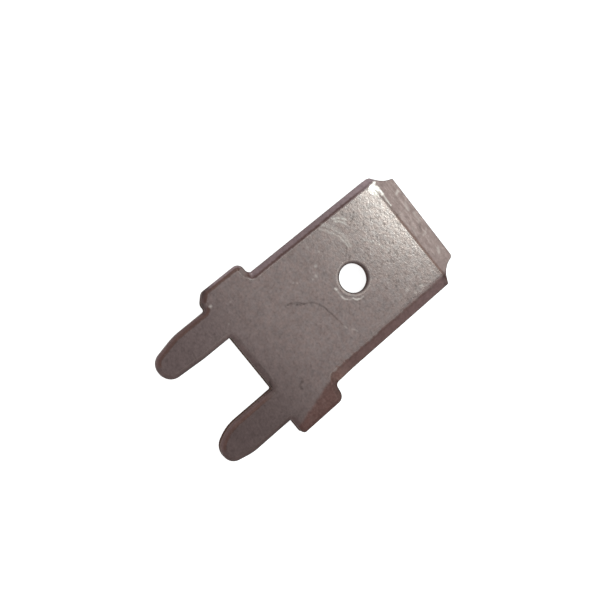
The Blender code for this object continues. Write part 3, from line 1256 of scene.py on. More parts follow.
LONG_SCRATCH = (
    Mark((-0.99, -0.69), (-0.56, -0.10), (-0.05, 0.02), 0.080, -0.80),
    Mark((-0.72, -0.38), (-0.62, -0.25), (0.00, 0.00), 0.100, -0.85),
    Mark((-0.56, -0.10), (0.40, 0.57), (-0.13, 0.14), 0.072, -0.68),
    Mark((0.40, 0.57), (1.40, 0.73), (0.00, 0.02), 0.062, -0.52),
    Mark((1.40, 0.73), (1.56, 0.78), (0.00, 0.00), 0.070, 0.07),
    Mark((1.75, 0.92), (1.97, 1.08), (0.00, 0.00), 0.070, 0.06),
)
FINE_SCRATCHES = (
    Mark((-2.86, 2.89), (-1.24, 3.37), (-0.10, 0.16), 0.120, 0.075),
    Mark((-2.71, 2.67), (-1.30, 3.27), (-0.08, 0.13), 0.110, 0.070),
    Mark((-2.78, 2.76), (-1.30, 3.32), (-0.09, 0.14), 0.060, -0.32),
    Mark((-2.58, 3.44), (-2.13, 3.82), (-0.04, 0.05), 0.080, 0.110),
    Mark((-2.72, 3.47), (-2.30, 3.96), (-0.04, 0.04), 0.080, 0.100),
    Mark((-2.60, 3.45), (-2.30, 3.78), (-0.03, 0.02), 0.045, -0.35),
    Mark((-2.38, 4.51), (-2.00, 3.94), (0.04, 0.03), 0.065, -0.60),
    Mark((-1.46, 3.21), (-1.03, 2.82), (0.05, 0.07), 0.060, -0.50),
    Mark((-0.88, 3.08), (-0.78, 2.86), (0.00, 0.00), 0.060, -0.50),
    Mark((-1.09, 4.03), (0.08, 4.65), (-0.05, 0.08), 0.070, 0.045),
    Mark((0.99, 2.05), (1.31, 1.78), (0.02, 0.02), 0.050, -0.32),
    Mark((1.16, 3.79), (1.76, 4.15), (0.06, -0.06), 0.050, -0.35),
    Mark((-2.14, -0.49), (-2.02, -0.83), (0.00, 0.00), 0.050, -0.32),
    Mark((0.91, 1.47), (1.14, 1.30), (0.00, 0.00), 0.050, -0.35),
    Mark((0.45, 1.35), (0.62, 0.78), (0.05, 0.00), 0.045, -0.28),
    Mark((2.10, -2.42), (2.32, -2.62), (0.00, -0.10), 0.100, -1.00),
    Mark((-2.67, -4.32), (-2.26, -4.41), (0.00, 0.00), 0.060, -0.28),
    Mark((-2.10, -5.33), (-1.72, -5.40), (0.00, 0.00), 0.060, -0.28),
)
SPOTS = (
    spot(0.38, 3.99, 0.09, -0.45), spot(-0.51, 4.74, 0.08, -0.40), spot(-0.67, 4.33, 0.07, -0.45),
    spot(0.32, 4.96, 0.07, -0.45), spot(0.75, 4.89, 0.08, -0.45), spot(0.51, 4.49, 0.07, -0.45),
    spot(-0.25, 1.14, 0.08, -0.40), spot(-0.13, 0.73, 0.10, -0.45), spot(-0.43, 0.55, 0.10, -0.45),
    spot(-2.50, 1.48, 0.07, -0.40), spot(-2.05, -4.11, 0.09, -0.50), spot(-0.94, 6.10, 0.11, -0.75),
    spot(-0.40, 3.70, 0.07, 0.09), spot(1.20, 3.67, 0.07, 0.10), spot(2.36, 4.90, 0.13, 0.08),
    spot(2.41, 4.48, 0.12, 0.07), spot(2.05, 4.23, 0.13, 0.07), spot(-1.59, 0.13, 0.07, 0.07),
    spot(-1.46, 0.26, 0.07, 0.07), spot(-1.53, 1.43, 0.11, 0.10), spot(-1.96, 1.98, 0.08, 0.07),
    spot(-1.18, 1.14, 0.11, 0.11), spot(-1.16, 0.94, 0.08, 0.09), spot(-2.42, 1.71, 0.08, 0.07),
    # The last of these spots is a painted glint near the left leg's root.
    spot(-2.73, -2.67, 0.08, 0.06), spot(-2.01, -3.33, 0.08, 0.06), spot(-3.11, -3.47, 0.11, 0.22),
)
# Painted highlights in arcs below the hole, and a painted shade between them and its mouth.
HOLE_ARC_LIGHT_AND_SHADE = (
    Mark((-0.05, 1.52), (0.33, 1.53), (0.02, -0.03), 0.070, 0.09),
    Mark((-0.17, 1.51), (-0.10, 1.52), (0.00, 0.00), 0.085, 0.26),
    Mark((0.30, 1.51), (0.56, 1.63), (0.03, -0.03), 0.065, 0.20),
    Mark((0.56, 1.63), (0.70, 1.86), (0.02, -0.02), 0.060, 0.08),
    Mark((0.72, 1.90), (0.92, 2.10), (0.02, -0.03), 0.068, 0.24),
    Mark((0.93, 2.12), (0.93, 2.32), (0.01, 0.00), 0.060, 0.10),
    Mark((-0.10, 1.70), (0.62, 1.92), (0.06, -0.16), 0.060, -0.35),
)
# A painted highlight on the burr at the tip's left corner, and a painted shade along the bend beside it.
TIP_BURR_LIGHT_AND_SHADE = (
    Mark((-2.76, 5.97), (-2.46, 6.14), (-0.01, 0.03), 0.150, 0.85),
    Mark((-2.82, 6.20), (-2.72, 6.02), (0.00, 0.00), 0.120, 0.85),
    Mark((-2.46, 6.14), (-2.16, 6.18), (0.00, 0.02), 0.110, 0.70),
    Mark((-2.16, 6.18), (-1.50, 6.16), (0.00, 0.00), 0.065, 0.30),
    Mark((-2.66, 5.90), (-2.38, 6.00), (0.00, 0.00), 0.230, 0.16),
    Mark((-2.02, 6.06), (-1.15, 6.09), (0.00, 0.00), 0.055, -0.65),
)
# Painted shade at the left shoulder's lower corner, the legs' roots, the gap's bottom edge and the tip's
# right corner, and over highlights on the right shoulder's and leg's rounded edges.
CORNER_AND_GAP_SHADES = (
    Mark((-3.90, -2.90), (-3.60, -3.62), (-0.05, -0.05), 0.24, -0.80),
    Mark((-3.58, -3.64), (-3.14, -3.86), (0.00, 0.00), 0.22, -0.90),
    Mark((-3.12, -3.86), (-3.12, -4.20), (0.00, 0.00), 0.14, -0.25),
    Mark((3.06, -1.10), (3.50, -1.36), (0.00, 0.00), 0.26, -0.30),
    Mark((3.02, -3.98), (3.04, -4.60), (0.00, 0.00), 0.14, -0.50),
    Mark((-1.10, -3.41), (0.20, -3.40), (0.00, 0.02), 0.14, -0.20),
    Mark((0.20, -3.43), (1.18, -3.46), (0.00, 0.04), 0.10, -0.46),
    Mark((2.58, 6.20), (2.86, 6.02), (0.00, 0.00), 0.16, -0.60),
    Mark((3.05, 5.95), (3.20, 5.90), (0.00, 0.00), 0.16, -0.50),
    Mark((1.16, -3.52), (1.44, -3.70), (0.00, 0.00), 0.12, -0.70),
)
BROAD_SHADES = (
    Mark((-2.30, 5.85), (-0.60, 5.85), (0.00, 0.00), 0.42, -0.20),
    Mark((-1.58, -5.30), (-1.76, -6.70), (0.00, 0.00), 0.30, -0.20),
    spot(2.35, -1.25, 0.80, -0.10), spot(2.40, 6.55, 0.55, -0.18),
)
BEVEL_STREAKS = (
    Mark((-1.80, 6.95), (-1.72, 6.80), (0.00, 0.00), 0.11, 0.14),
    Mark((-1.12, 6.86), (-0.79, 6.79), (0.02, -0.02), 0.12, 0.07),
    Mark((-0.50, 6.90), (-0.04, 6.86), (0.00, 0.02), 0.11, 0.07),
    Mark((0.44, 6.93), (0.59, 6.56), (0.05, 0.00), 0.10, 0.06),
    Mark((0.00, 6.35), (0.37, 6.28), (0.00, 0.00), 0.10, 0.04),
    Mark((1.52, 6.79), (1.71, 6.69), (0.00, 0.00), 0.12, 0.09),
    Mark((0.10, 6.78), (0.36, 6.62), (0.00, 0.00), 0.09, -0.30),
)
FRONT_MARKS = (LONG_SCRATCH + FINE_SCRATCHES + SPOTS + HOLE_ARC_LIGHT_AND_SHADE + TIP_BURR_LIGHT_AND_SHADE + CORNER_AND_GAP_SHADES + BROAD_SHADES
               + BEVEL_STREAKS)


@dataclass(frozen=True)
class Groups:
    """The node groups that the finishes share."""

    grain: bpy.types.NodeTree
    mark: bpy.types.NodeTree
    line: bpy.types.NodeTree
    zone: bpy.types.NodeTree

    @classmethod
    def make(cls) -> "Groups":
        """Makes each group once."""
        return cls(make_tin_grain(), make_mark(), make_ragged_line(), make_zone())


def new_material(name: str) -> tuple[bpy.types.Material, NodeSheet, bpy.types.Node]:
    """A material with one Principled shader.

    Args:
        name: The material's name.

    Returns:
        The material, a sheet of its nodes, and the shader.
    """
    material = bpy.data.materials.new(name)
    material.use_nodes = True
    return material, NodeSheet(material.node_tree), material.node_tree.nodes["Principled BSDF"]


def add_bump(sheet: NodeSheet, shader: bpy.types.Node, height: Socket, depth: float) -> None:
    """Feeds the shader's normal from a height of 0 to 1 that is this many millimetres deep."""
    bump = sheet.add("ShaderNodeBump")
    bump.inputs["Strength"].default_value = 1.0
    bump.inputs["Distance"].default_value = depth * MM
    sheet.feed(bump.inputs["Height"], height)
    sheet.feed(shader.inputs["Normal"], bump.outputs["Normal"])


class FrontSheet(NodeSheet):
    """The front material's nodes, with the places and distances that its layers share."""

    def __init__(self, tree: bpy.types.NodeTree, groups: Groups) -> None:
        """Reads the places and the attributes once.

        Args:
            tree: The material's tree.
            groups: The shared node groups.
        """
        super().__init__(tree)
        self.groups = groups
        self.spot = self.place()
        parts = self.add("ShaderNodeSeparateXYZ")
        self.feed(parts.inputs[0], self.spot)
        self.x, self.y = parts.outputs[0], parts.outputs[1]
        self.edge = self.attribute("edge_distance")
        self.rolled = self.attribute("rolled")
        self.facing = self.attribute("facing")
        self.hole = self.attribute("hole_distance")
        self.coin = self.attribute("coin_reach")

    def zone(self, reach: Socket, softness: float, raggedness: float) -> Socket:
        """The zone past a reach of zero."""
        return self.group(self.groups.zone, Place=self.spot, Reach=reach, Softness=softness,
                          Raggedness=raggedness)["Mask"]

    def line(self, reach: Socket, width: float, raggedness: float, cover: float) -> Socket:
        """The ragged line where a reach is zero."""
        return self.group(self.groups.line, Place=self.spot, Reach=reach, Width=width,
                          Raggedness=raggedness, Cover=cover)["Mask"]

    def shares(self, *masks: object) -> Socket:
        """The product of masks."""
        total = masks[0]
        for mask in masks[1:]:
            total = self.value("MULTIPLY", total, mask)
        return total


@dataclass(frozen=True)
class FrontFinish:
    """The front face's finish: grainy tin, flats with tarnish and painted reflection, edges browned as
    painted shade, the marks of handling, and painted highlights and shades.

    In a span of the sheet, the first two numbers are places or distances in millimetres, or shares
    where the source is one, and the next two are how strong the layer is at each of them.

    Attributes:
        tin: The colours.
        plan: The terminal's plan.
        press: Its press work.
        marks: The scratches, streaks and spots, and the painted highlights and shades.
        contrast: How much the grains differ in tone.
        bump: How deep the grain is.
        leg_lean: How much further up the legs' painted shade starts, for each millimetre to the right.
        shade_x, shade_y: A place on the border of the painted shade over the right shoulder.
        shade_lean: How much further out that border lies, for each millimetre down.
        edge_band: How far in from the outline the painted brown shade of a rounded edge ends.
        shake, shake_scale: How far a mark strays from its line, and how many times in a millimetre.
    """

    tin: TinFinish
    plan: PlanSizes
    press: PressWork
    marks: tuple[Mark, ...]
    contrast: float = 1.1
    bump: float = 0.0044
    leg_lean: float = 0.12
    shade_x: float = 2.68
    shade_y: float = -0.60
    shade_lean: float = 0.27
    edge_band: float = 0.20
    shake: float = 0.10
    shake_scale: float = 5.0

    def make(self, groups: Groups) -> bpy.types.Material:
        """Builds the material, one layer over the other.

        Args:
            groups: The shared node groups.

        Returns:
            The material.
        """
        tin = self.tin
        material, _, shader = new_material("tinned_front")
        sheet = FrontSheet(material.node_tree, groups)
        grain = sheet.group(groups.grain, Place=sheet.spot, Fineness=tin.grain, Strength=self.contrast)
        start = self.plan.tip_y - self.press.bevel_length
        slant = sheet.value("MULTIPLY", sheet.x, self.press.bevel_slant)
        bevel_reach = sheet.value("SUBTRACT", sheet.value("SUBTRACT", sheet.y, start), slant)
        bevel = sheet.zone(bevel_reach, 0.03, 0.05)

        colour = self.tin_body(sheet, grain["Tint"])
        colour = self.bevelled(sheet, colour, bevel)
        colour = self.coined(sheet, colour)
        colour = self.shoulder_shaded(sheet, colour)
        colour = self.edged(sheet, colour)
        colour = self.creased(sheet, colour, bevel_reach)
        colour = sheet.mix(1.0, colour, sheet.tone_colour(grain["Tone"]), "MULTIPLY")
        # The tin that is neither bevelled, coined nor rounded at an edge, and isn't the hole's mouth.
        flat = sheet.shares(
            sheet.span(bevel_reach, -0.05, -0.10), sheet.span(sheet.coin, -0.02, -0.06),
            sheet.span(sheet.edge, 0.17, 0.25), sheet.span(sheet.hole, 0.14, 0.18))
        pits = sheet.shares(grain["Pits"], flat, sheet.span(sheet.y, 2.6, 4.2, 0.22, 0.50))
        colour = sheet.mix(pits, colour, tin.dark)
        sheet.feed(shader.inputs["Base Color"], self.marked(sheet, colour))
        roughness = sheet.blend(flat, tin.dull, tin.roughness)
        roughness = sheet.blend(self.shoulder_tops(sheet), roughness, tin.matt)
        sheet.feed(shader.inputs["Roughness"], roughness)
        shader.inputs["Metallic"].default_value = tin.metallic
        add_bump(sheet, shader, grain["Height"], self.bump)
        return material

    def tin_body(self, sheet: FrontSheet, tint: Socket) -> Socket:
        """The tin itself: two tints in small grains, with painted shade on the legs that is deepest on
        the right one.
        """
        tin = self.tin
        body = sheet.mix(tint, tin.grey, tin.warm)
        # Painted shade darkens the tin towards the legs, most on the right leg.
        leg = sheet.mix(sheet.span(sheet.x, -1.5, 2.2), tin.left_leg_shaded, tin.right_leg_shaded)
        slanted = sheet.value("SUBTRACT", sheet.y, sheet.value("MULTIPLY", sheet.x, self.leg_lean))
        low = sheet.span(slanted, self.plan.shoulder_y + 0.6, self.plan.board_y - 1.1)
        return sheet.mix(low, body, leg)

    def bevelled(self, sheet: FrontSheet, colour: Socket, bevel: Socket) -> Socket:
        """The tip's bevel: a browner tin with pale streaks that run along the bend."""
        stretched = sheet.vector("MULTIPLY", sheet.spot, (0.8, 3.2, 1.0))
        streaks = sheet.span(sheet.noise(stretched, 1.7, 4.0, 0.75), 0.42, 0.78)
        cover = sheet.span(sheet.x, 0.3, 2.4, 0.66, 0.30)
        surface = sheet.mix(sheet.value("MULTIPLY", streaks, cover), self.tin.bevel, self.tin.streak)
        return sheet.mix(bevel, colour, surface)

    def coined(self, sheet: FrontSheet, colour: Socket) -> Socket:
        """The flats along the blade, tarnish with painted reflection: purple grey on the left, brown with
        a soft border on the right.
        """
        tin = self.tin
        # Both flats are lighter towards the tip: tarnish with painted reflection.
        up = sheet.span(sheet.y, self.plan.shoulder_y, self.plan.tip_y - 1.0, smooth=False)
        left_up = sheet.span(sheet.y, 2.8, self.plan.tip_y - 0.75, smooth=False)
        left = sheet.mix(left_up, tin.flat_root, tin.flat_tip)
        right = sheet.mix(up, tin.brown_root, tin.brown_tip)
        on_right = sheet.span(sheet.x, -0.5, 0.5)
        sharp, soft = sheet.zone(sheet.coin, 0.02, 0.08), sheet.zone(sheet.coin, 0.06, 0.72)
        return sheet.mix(sheet.blend(on_right, sharp, soft), colour, sheet.mix(on_right, left, right))

    def shoulder_shaded(self, sheet: FrontSheet, colour: Socket) -> Socket:
        """The brown painted shade over the right shoulder, past a line that leans outwards as it comes
        down.
        """
        # Painted shade over the right shoulder, with brown blotches in it.
        lean = sheet.value("MULTIPLY", sheet.value("SUBTRACT", sheet.y, self.shade_y), self.shade_lean)
        reach = sheet.value("SUBTRACT", sheet.value("ADD", lean, sheet.x), self.shade_x)
        shoulder = sheet.shares(sheet.zone(reach, 0.10, 0.20), sheet.span(sheet.y, -0.5, -1.0), 0.9)
        blotch = sheet.span(sheet.noise(sheet.spot, 4.5, 3.0, 0.7), 0.40, 0.66)
        zone = sheet.mix(sheet.value("MULTIPLY", blotch, 0.5), self.tin.zone, self.tin.brown_root)
        return sheet.mix(shoulder, colour, zone)

    def edged(self, sheet: FrontSheet, colour: Socket) -> Socket:
        """The rounded edges, the outline's dark rim and the hole's mouth, with painted shade and
        highlights.

        Edges that face left are brown with painted shade, with a painted shaded line where the brown ends
        and a painted highlight in a paler line near the rim. The right leg's root is left out of them.
        The others are a little brown with painted shade. All have a thin dark rim of painted shade, and
        the hole's mouth darkens towards the bore as painted shade.
        """
        tin, board_y = self.tin, self.plan.board_y
        on_left = sheet.span(sheet.x, 0.5, 0.0)
        past_root = sheet.value("MAXIMUM", on_left, sheet.span(sheet.y, board_y + 0.05, board_y - 0.55))
        faces_left = sheet.shares(sheet.span(sheet.facing, -0.15, -0.6), past_root)
        # Painted shade: the rounded edges turn brown, most on those that face left.
        near = sheet.zone(sheet.value("SUBTRACT", self.edge_band, sheet.edge), 0.05, 0.12)
        brown = sheet.shares(near, sheet.rolled, sheet.blend(faces_left, 0.14, 0.85))
        colour = sheet.mix(brown, colour, tin.edge)
        # A line of painted shade where that brown ends.
        past_band = sheet.value("SUBTRACT", sheet.edge, self.edge_band)
        line = sheet.shares(sheet.line(past_band, 0.07, 0.10, 0.70), sheet.rolled, faces_left)
        colour = sheet.mix(line, colour, tin.crease_shade)
        # A painted highlight in a paler line near the rim of edges that face left.
        pale = sheet.shares(sheet.span(sheet.edge, 0.13, 0.07), sheet.rolled, faces_left,
                            sheet.span(sheet.y, -3.3, -2.9, 0.15, 0.75))
        colour = sheet.mix(pale, colour, tin.flat_tip)
        # A thin dark rim of painted shade along the outline.
        rim = sheet.shares(sheet.span(sheet.edge, 0.055, 0.0), sheet.blend(faces_left, 0.35, 0.15))
        colour = sheet.mix(rim, colour, tin.dark)
        # Painted shade in the hole's mouth, darker towards the bore.
        mouth = sheet.span(sheet.hole, 0.14, 0.0, 0.0, 0.60)
        return sheet.mix(mouth, colour, tin.dark)

    def shoulder_tops(self, sheet: FrontSheet) -> Socket:
        """A mask of the rounded edges that face the tip, on the shoulders and their fillets."""
        shoulder_y = self.plan.shoulder_y
        sideways = sheet.value("ABSOLUTE", sheet.facing)
        return sheet.shares(
            sheet.span(sideways, 0.98, 0.80), sheet.span(sheet.rolled, 0.0, 0.3),
            sheet.span(sheet.y, shoulder_y - 0.8, shoulder_y - 0.5), sheet.span(sheet.edge, 0.34, 0.24))

    def creased(self, sheet: FrontSheet, colour: Socket, bevel_reach: Socket) -> Socket:
        """Painted shade in ragged brown lines along the coined flats, and along the tip's bend right of
        the burr.
        """
        tin = self.tin
        # Painted shade along the coined flats' creases.
        inner = sheet.value("SUBTRACT", sheet.coin, 0.06)
        crease = sheet.shares(
            sheet.line(inner, 0.080, 0.16, 0.75), sheet.span(sheet.x, -0.5, 0.5, 0.95, 0.55),
            sheet.span(sheet.y, 4.6, 6.0, 1.0, 0.45))
        colour = sheet.mix(crease, colour, tin.crease_shade)
        # Painted shade along the tip's bend.
        bend = sheet.value("ADD", bevel_reach, 0.01)
        fold = sheet.shares(sheet.line(bend, 0.090, 0.06, 0.90), sheet.span(sheet.x, -2.1, -0.7))
        return sheet.mix(fold, colour, tin.crease_shade)

    def marked(self, sheet: FrontSheet, colour: Socket) -> Socket:
        """The scratches, spots, painted highlights and painted shades, dark ones first, on a place that
        is shaken so that none is even.
        """
        noise = sheet.add("ShaderNodeTexNoise", noise_dimensions="3D")
        sheet.feed(noise.inputs["Vector"], sheet.spot)
        noise.inputs["Scale"].default_value = self.shake_scale
        swing = sheet.vector("SUBTRACT", noise.outputs["Color"], (0.5, 0.5, 0.5))
        shaken = sheet.vector("MULTIPLY_ADD", swing, (self.shake, self.shake, 0.0), sheet.spot)
        flat = sheet.vector("MULTIPLY", shaken, (1.0, 1.0, 0.0))
        patchy = sheet.span(sheet.noise(sheet.spot, 4.0, 1.0), 0.35, 0.55, 0.55, 1.0)
        # Dirt and painted shade from the dark marks.
        dirt_and_shade = sheet.value("MULTIPLY", self.strongest(sheet, flat, -1.0), patchy)
        colour = sheet.mix(dirt_and_shade, colour, self.tin.dark)
        # Bare metal and painted highlights from the bright marks.
        return sheet.mix(self.strongest(sheet, flat, 1.0), colour, self.tin.bright)

    def strongest(self, sheet: FrontSheet, place: Socket, sign: float) -> Socket:
        """The strongest mask of the marks whose strength has this sign.

        Args:
            sheet: The material's nodes.
            place: The place in plan, as a vector whose Z is 0.
            sign: 1 for bright marks, -1 for dark ones.

        Returns:
            The mask.
        """
        total: object = 0.0
        for mark in self.marks:
            if mark.strength * sign > 0:
                mask = sheet.group(
                    sheet.groups.mark, Place=place, Start=(*mark.start, 0.0), End=(*mark.end, 0.0),
                    Bow=(*mark.bow, 0.0), Width=mark.width, Strength=abs(mark.strength))["Mask"]
                total = sheet.value("MAXIMUM", total, mask)
        return total


@dataclass(frozen=True)
class BackFinish:
    """The back face's finish: the same tin and coined flats, with no marks of its own.

    Attributes:
        tin: The colours.
        contrast: How much the grains differ in tone.
        bump: How deep the grain is.
    """

    tin: TinFinish
    contrast: float = 0.85
    bump: float = 0.004

    def make(self, groups: Groups) -> bpy.types.Material:
        """Builds the material.

        Args:
            groups: The shared node groups.

        Returns:
            The material.
        """
        tin = self.tin
        material, sheet, shader = new_material("tinned_back")
        place = sheet.place()
        grain = sheet.group(groups.grain, Place=place, Fineness=tin.grain, Strength=self.contrast)
        colour = sheet.mix(grain["Tint"], tin.grey, tin.warm)
        coined = sheet.group(groups.zone, Place=place, Reach=sheet.attribute("coin_reach"),
                             Softness=0.02, Raggedness=0.06)["Mask"]
        # The coined flats take the left flat's colour near the tip: tarnish with painted reflection.
        colour = sheet.mix(coined, colour, tin.flat_tip)
        # A thin rim in the rounded edges' brown, a painted shade.
        rim = sheet.span(sheet.attribute("edge_distance"), 0.10, 0.0)
        colour = sheet.mix(sheet.value("MULTIPLY", rim, 0.5), colour, tin.edge)
        colour = sheet.mix(1.0, colour, sheet.tone_colour(grain["Tone"]), "MULTIPLY")
        sheet.feed(shader.inputs["Base Color"], colour)
        shader.inputs["Roughness"].default_value = tin.roughness
        shader.inputs["Metallic"].default_value = tin.metallic
        add_bump(sheet, shader, grain["Height"], self.bump)
        return material


@dataclass(frozen=True)
class WallFinish:
    """The sheared walls, bare brass darkened partly as painted shade: a burnished band under the front
    edge, and torn metal below it.

    Attributes:
        tin: The colours.
        torn_from: The share of the wall's height where the torn part starts.
        burnished_roughness, torn_roughness: How rough each part is.
        metallic: How much of the look is metal.
        contrast: How much the grains differ in tone.
        bump: How deep the roughness is.
    """

    tin: TinFinish
    torn_from: float = 0.48
    burnished_roughness: float = 0.45
    torn_roughness: float = 0.65
    metallic: float = 0.60
    contrast: float = 1.2
    bump: float = 0.008

    def make(self, groups: Groups) -> bpy.types.Material:
        """Builds the material.

        Args:
            groups: The shared node groups.

        Returns:
            The material.
        """
        tin = self.tin
        material, sheet, shader = new_material("sheared_wall")
        place = sheet.place()
        reach = sheet.value("SUBTRACT", sheet.attribute("wall_depth"), self.torn_from)
        torn = sheet.group(groups.zone, Place=place, Reach=reach, Softness=0.06, Raggedness=0.25)["Mask"]
        grain = sheet.group(groups.grain, Place=place, Fineness=tin.grain, Strength=self.contrast)
        streaked = sheet.vector("MULTIPLY", place, (1.0, 1.0, 0.12))
        streak = sheet.noise(streaked, 16.0, 2.0, 0.6)
        # Walls that face left take the edges' brown as painted shade, and others in random patches.
        faces_left = sheet.span(sheet.attribute("facing"), -0.3, -0.8)
        patch = sheet.span(sheet.noise(place, 2.2, 2.0, 0.6), 0.42, 0.58)
        browned = sheet.value("MAXIMUM", faces_left, patch)
        upper = sheet.mix(browned, tin.burnish, tin.edge)
        colour = sheet.mix(torn, upper, tin.torn)
        colour = sheet.mix(1.0, colour, sheet.tone_colour(grain["Tone"]), "MULTIPLY")
        sheet.feed(shader.inputs["Base Color"], colour)
        roughness = sheet.blend(torn, self.burnished_roughness, self.torn_roughness)
        sheet.feed(shader.inputs["Roughness"], roughness)
        shader.inputs["Metallic"].default_value = self.metallic
        shader.inputs["Specular IOR Level"].default_value = 0.0
        shader.inputs["Specular Tint"].default_value = (*tin.grazing, 1.0)
        add_bump(sheet, shader, sheet.blend(torn, streak, grain["Height"]), self.bump)
        return material


# Floor, lamps and camera

def seen_directly(sheet: NodeSheet) -> Socket:
    """1 for what the camera sees, straight or mirrored, and 0 for the light that is shed on things."""
    path = sheet.add("ShaderNodeLightPath").outputs
    mirrored = sheet.value("MAXIMUM", path["Is Glossy Ray"], path["Is Transmission Ray"])
    return sheet.value("MAXIMUM", path["Is Camera Ray"], mirrored)


@dataclass(frozen=True)
class Floor:
    """A plain white floor that shows white and still takes the terminal's shadow.

    Attributes:
        size: The length of its sides.
        drop: How far it lies below the terminal.
        glow: The light that it adds to what is seen of it.
        white: Its own colour.
    """

    size: float = 400.0
    drop: float = 0.01
    glow: float = 0.87
    white: Colour = (0.55, 0.55, 0.55)

    def build(self) -> bpy.types.Object:
        """Makes the floor."""
        half = self.size / 2 * MM
        mesh = bpy.data.meshes.new("floor")
        corners = [(-half, -half), (half, -half), (half, half), (-half, half)]
        mesh.from_pydata([(x, y, -self.drop * MM) for x, y in corners], [], [(0, 1, 2, 3)])
        material, sheet, shader = new_material("floor_white")
        shader.inputs["Base Color"].default_value = (*self.white, 1.0)
        shader.inputs["Roughness"].default_value = 1.0
        shader.inputs["Specular IOR Level"].default_value = 0.0
        shader.inputs["Emission Color"].default_value = (1.0, 1.0, 1.0, 1.0)
        glow = sheet.value("MULTIPLY", seen_directly(sheet), self.glow)
        sheet.feed(shader.inputs["Emission Strength"], glow)
        mesh.materials.append(material)
        item = bpy.data.objects.new("floor", mesh)
        bpy.context.scene.collection.objects.link(item)
        return item


@dataclass(frozen=True)
class Surroundings:
    """The even white that the camera and the metal see, and the weaker light that it sheds.

    Attributes:
        shed: How strong that light is, as a share of the white.
    """

    shed: float = 0.75

    def build(self) -> None:
        """Makes the world."""
        world = bpy.data.worlds.new("white_room")
        world.use_nodes = True
        bpy.context.scene.world = world
        sheet = NodeSheet(world.node_tree)
        background = world.node_tree.nodes["Background"]
        background.inputs["Color"].default_value = (1.0, 1.0, 1.0, 1.0)
        sheet.feed(background.inputs["Strength"], sheet.blend(seen_directly(sheet), self.shed, 1.0))


@dataclass(frozen=True)
class SoftLamp:
    """A soft oblong lamp that looks at the middle of the terminal's front.

    Attributes:
        name: The lamp's name.
        direction: The direction from there to the lamp.
        distance: How far off it stands.
        width, depth: The lengths of its sides.
        radiance: How bright its surface is.
        tint: Its colour.
        aim: The point that it looks at.
    """

    name: str
    direction: tuple[float, float, float]
    distance: float
    width: float
    depth: float
    radiance: float
    tint: Colour
    aim: tuple[float, float, float] = (0.0, 0.0, 0.8)

    def build(self) -> bpy.types.Object:
        """Makes the lamp. Its power is its radiance times pi times its area."""
        data = bpy.data.lights.new(self.name, "AREA")
        data.shape = "RECTANGLE"
        data.size = self.width * MM
        data.size_y = self.depth * MM
        data.color = self.tint
        data.energy = self.radiance * math.pi * data.size * data.size_y
        item = bpy.data.objects.new(self.name, data)
        back = Vector(self.direction).normalized()
        item.location = (Vector(self.aim) + back * self.distance) * MM
        item.rotation_euler = (-back).to_track_quat("-Z", "Y").to_euler()
        bpy.context.scene.collection.objects.link(item)
        return item


@dataclass(frozen=True)
class Viewpoint:
    """The camera, close above the terminal.

    Attributes:
        place: Where it is.
        look: The direction that it looks in.
        right: The direction of its picture's right.
        lens: Its focal length.
        sensor: The width of its sensor.
        nearest, farthest: The distances that it sees between.
    """

    place: tuple[float, float, float] = (-3.936, -7.820, 33.425)
    look: tuple[float, float, float] = (0.0930, 0.2283, -0.9691)
    right: tuple[float, float, float] = (0.6211, 0.7474, 0.2357)
    lens: float = 44.7
    sensor: float = 36.0
    nearest: float = 1.0
    farthest: float = 10000.0

    def build(self) -> bpy.types.Object:
        """Makes the camera and hands it to the scene."""
        data = bpy.data.cameras.new("camera")
        data.lens = self.lens
        data.sensor_width = self.sensor
        data.clip_start = self.nearest * MM
        data.clip_end = self.farthest * MM
        item = bpy.data.objects.new("camera", data)
        back = -Vector(self.look).normalized()
        right = Vector(self.right)
        right = (right - back * right.dot(back)).normalized()
        turned = Matrix((right, back.cross(right), back)).transposed().to_4x4()
        item.matrix_world = Matrix.Translation(Vector(self.place) * MM) @ turned
        bpy.context.scene.collection.objects.link(item)
        bpy.context.scene.camera = item
        return item


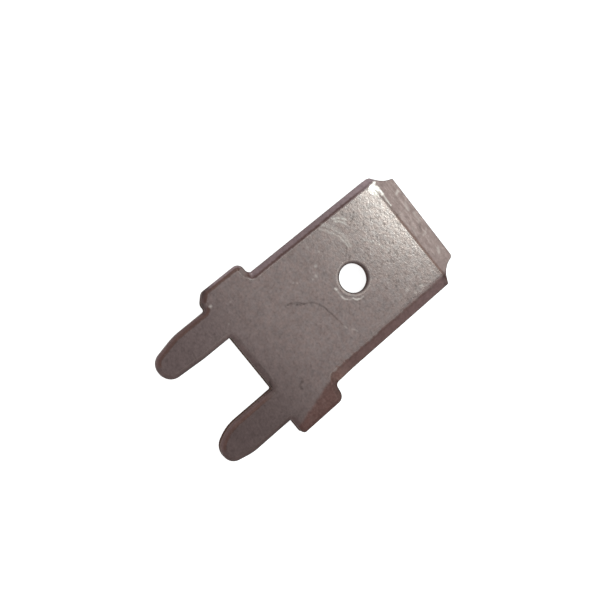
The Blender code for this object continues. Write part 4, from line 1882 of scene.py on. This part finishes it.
def make_terminal() -> bpy.types.Object:
    """Builds the dressed terminal from the frame's own box, and hands it to the frame.

    Returns:
        The terminal's object.
    """
    low, high = (np.array(corner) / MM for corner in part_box(CAD_NODE))
    plan = PlanSizes(tip_y=high[1], leg_tip_y=low[1])
    press = PressWork(plan, thickness=high[2] - low[2])
    right = SideForm(
        shoulder=high[0], foot_cut=0.10, foot_radius=0.15, foot_drop=0.055, top_drop=0.13,
        crop=CropForm(across=0.845, blunt=0.20, sag=0.075, ledge=0.41, ledge_along=0.90, along=1.055),
        leg=LegForm(outer=3.065, inner=1.465, outer_taper=1.10, inner_taper=0.95, outer_lean=0.265,
                    inner_lean=0.45, short=0.0, rounding=2.0))
    left = SideForm(
        shoulder=3.855, foot_cut=0.40, foot_radius=0.34, foot_drop=-0.02, top_drop=0.0,
        crop=CropForm(across=0.74, blunt=0.06, sag=0.12, ledge=0.06, ledge_along=0.955, along=1.115),
        leg=LegForm(outer=3.115, inner=1.505, outer_taper=1.50, inner_taper=1.9, outer_lean=0.34,
                    inner_lean=0.12, short=0.14, rounding=1.1))
    terminal = StampedTerminal(plan, press, plan.outline(right, left))
    item = terminal.build()
    groups, tin = Groups.make(), TinFinish()
    for finish in (FrontFinish(tin, plan, press, FRONT_MARKS), BackFinish(tin), WallFinish(tin)):
        item.data.materials.append(finish.make(groups))
    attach(item, BODY)
    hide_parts(CAD_NODE)
    return item


def main() -> None:
    """Builds the terminal, then the floor, the lamps and the camera, and reports each piece."""
    logging.basicConfig(level=logging.INFO, format="%(name)s: %(message)s")
    bpy.context.scene.view_settings.view_transform = "Standard"
    item = make_terminal()
    log.info("%s: %d points, %d faces", item.name, len(item.data.vertices), len(item.data.polygons))
    for builder in (
        Floor(),
        SoftLamp("window", direction=(0.043, 0.57, 1.0), distance=460.0, width=92.0, depth=55.0,
                 radiance=40.0, tint=(0.78, 1.0, 0.95)),
        SoftLamp("far_wall", direction=(0.10, 0.70, 1.0), distance=490.0, width=560.0, depth=560.0,
                 radiance=0.45, tint=(0.80, 1.0, 0.97)),
    ):
        made = builder.build()
        log.info("%s: stage or lamp", made.name)
    Surroundings().build()
    log.info("%s: ready", Viewpoint().build().name)


if __name__ == "__main__":
    main()
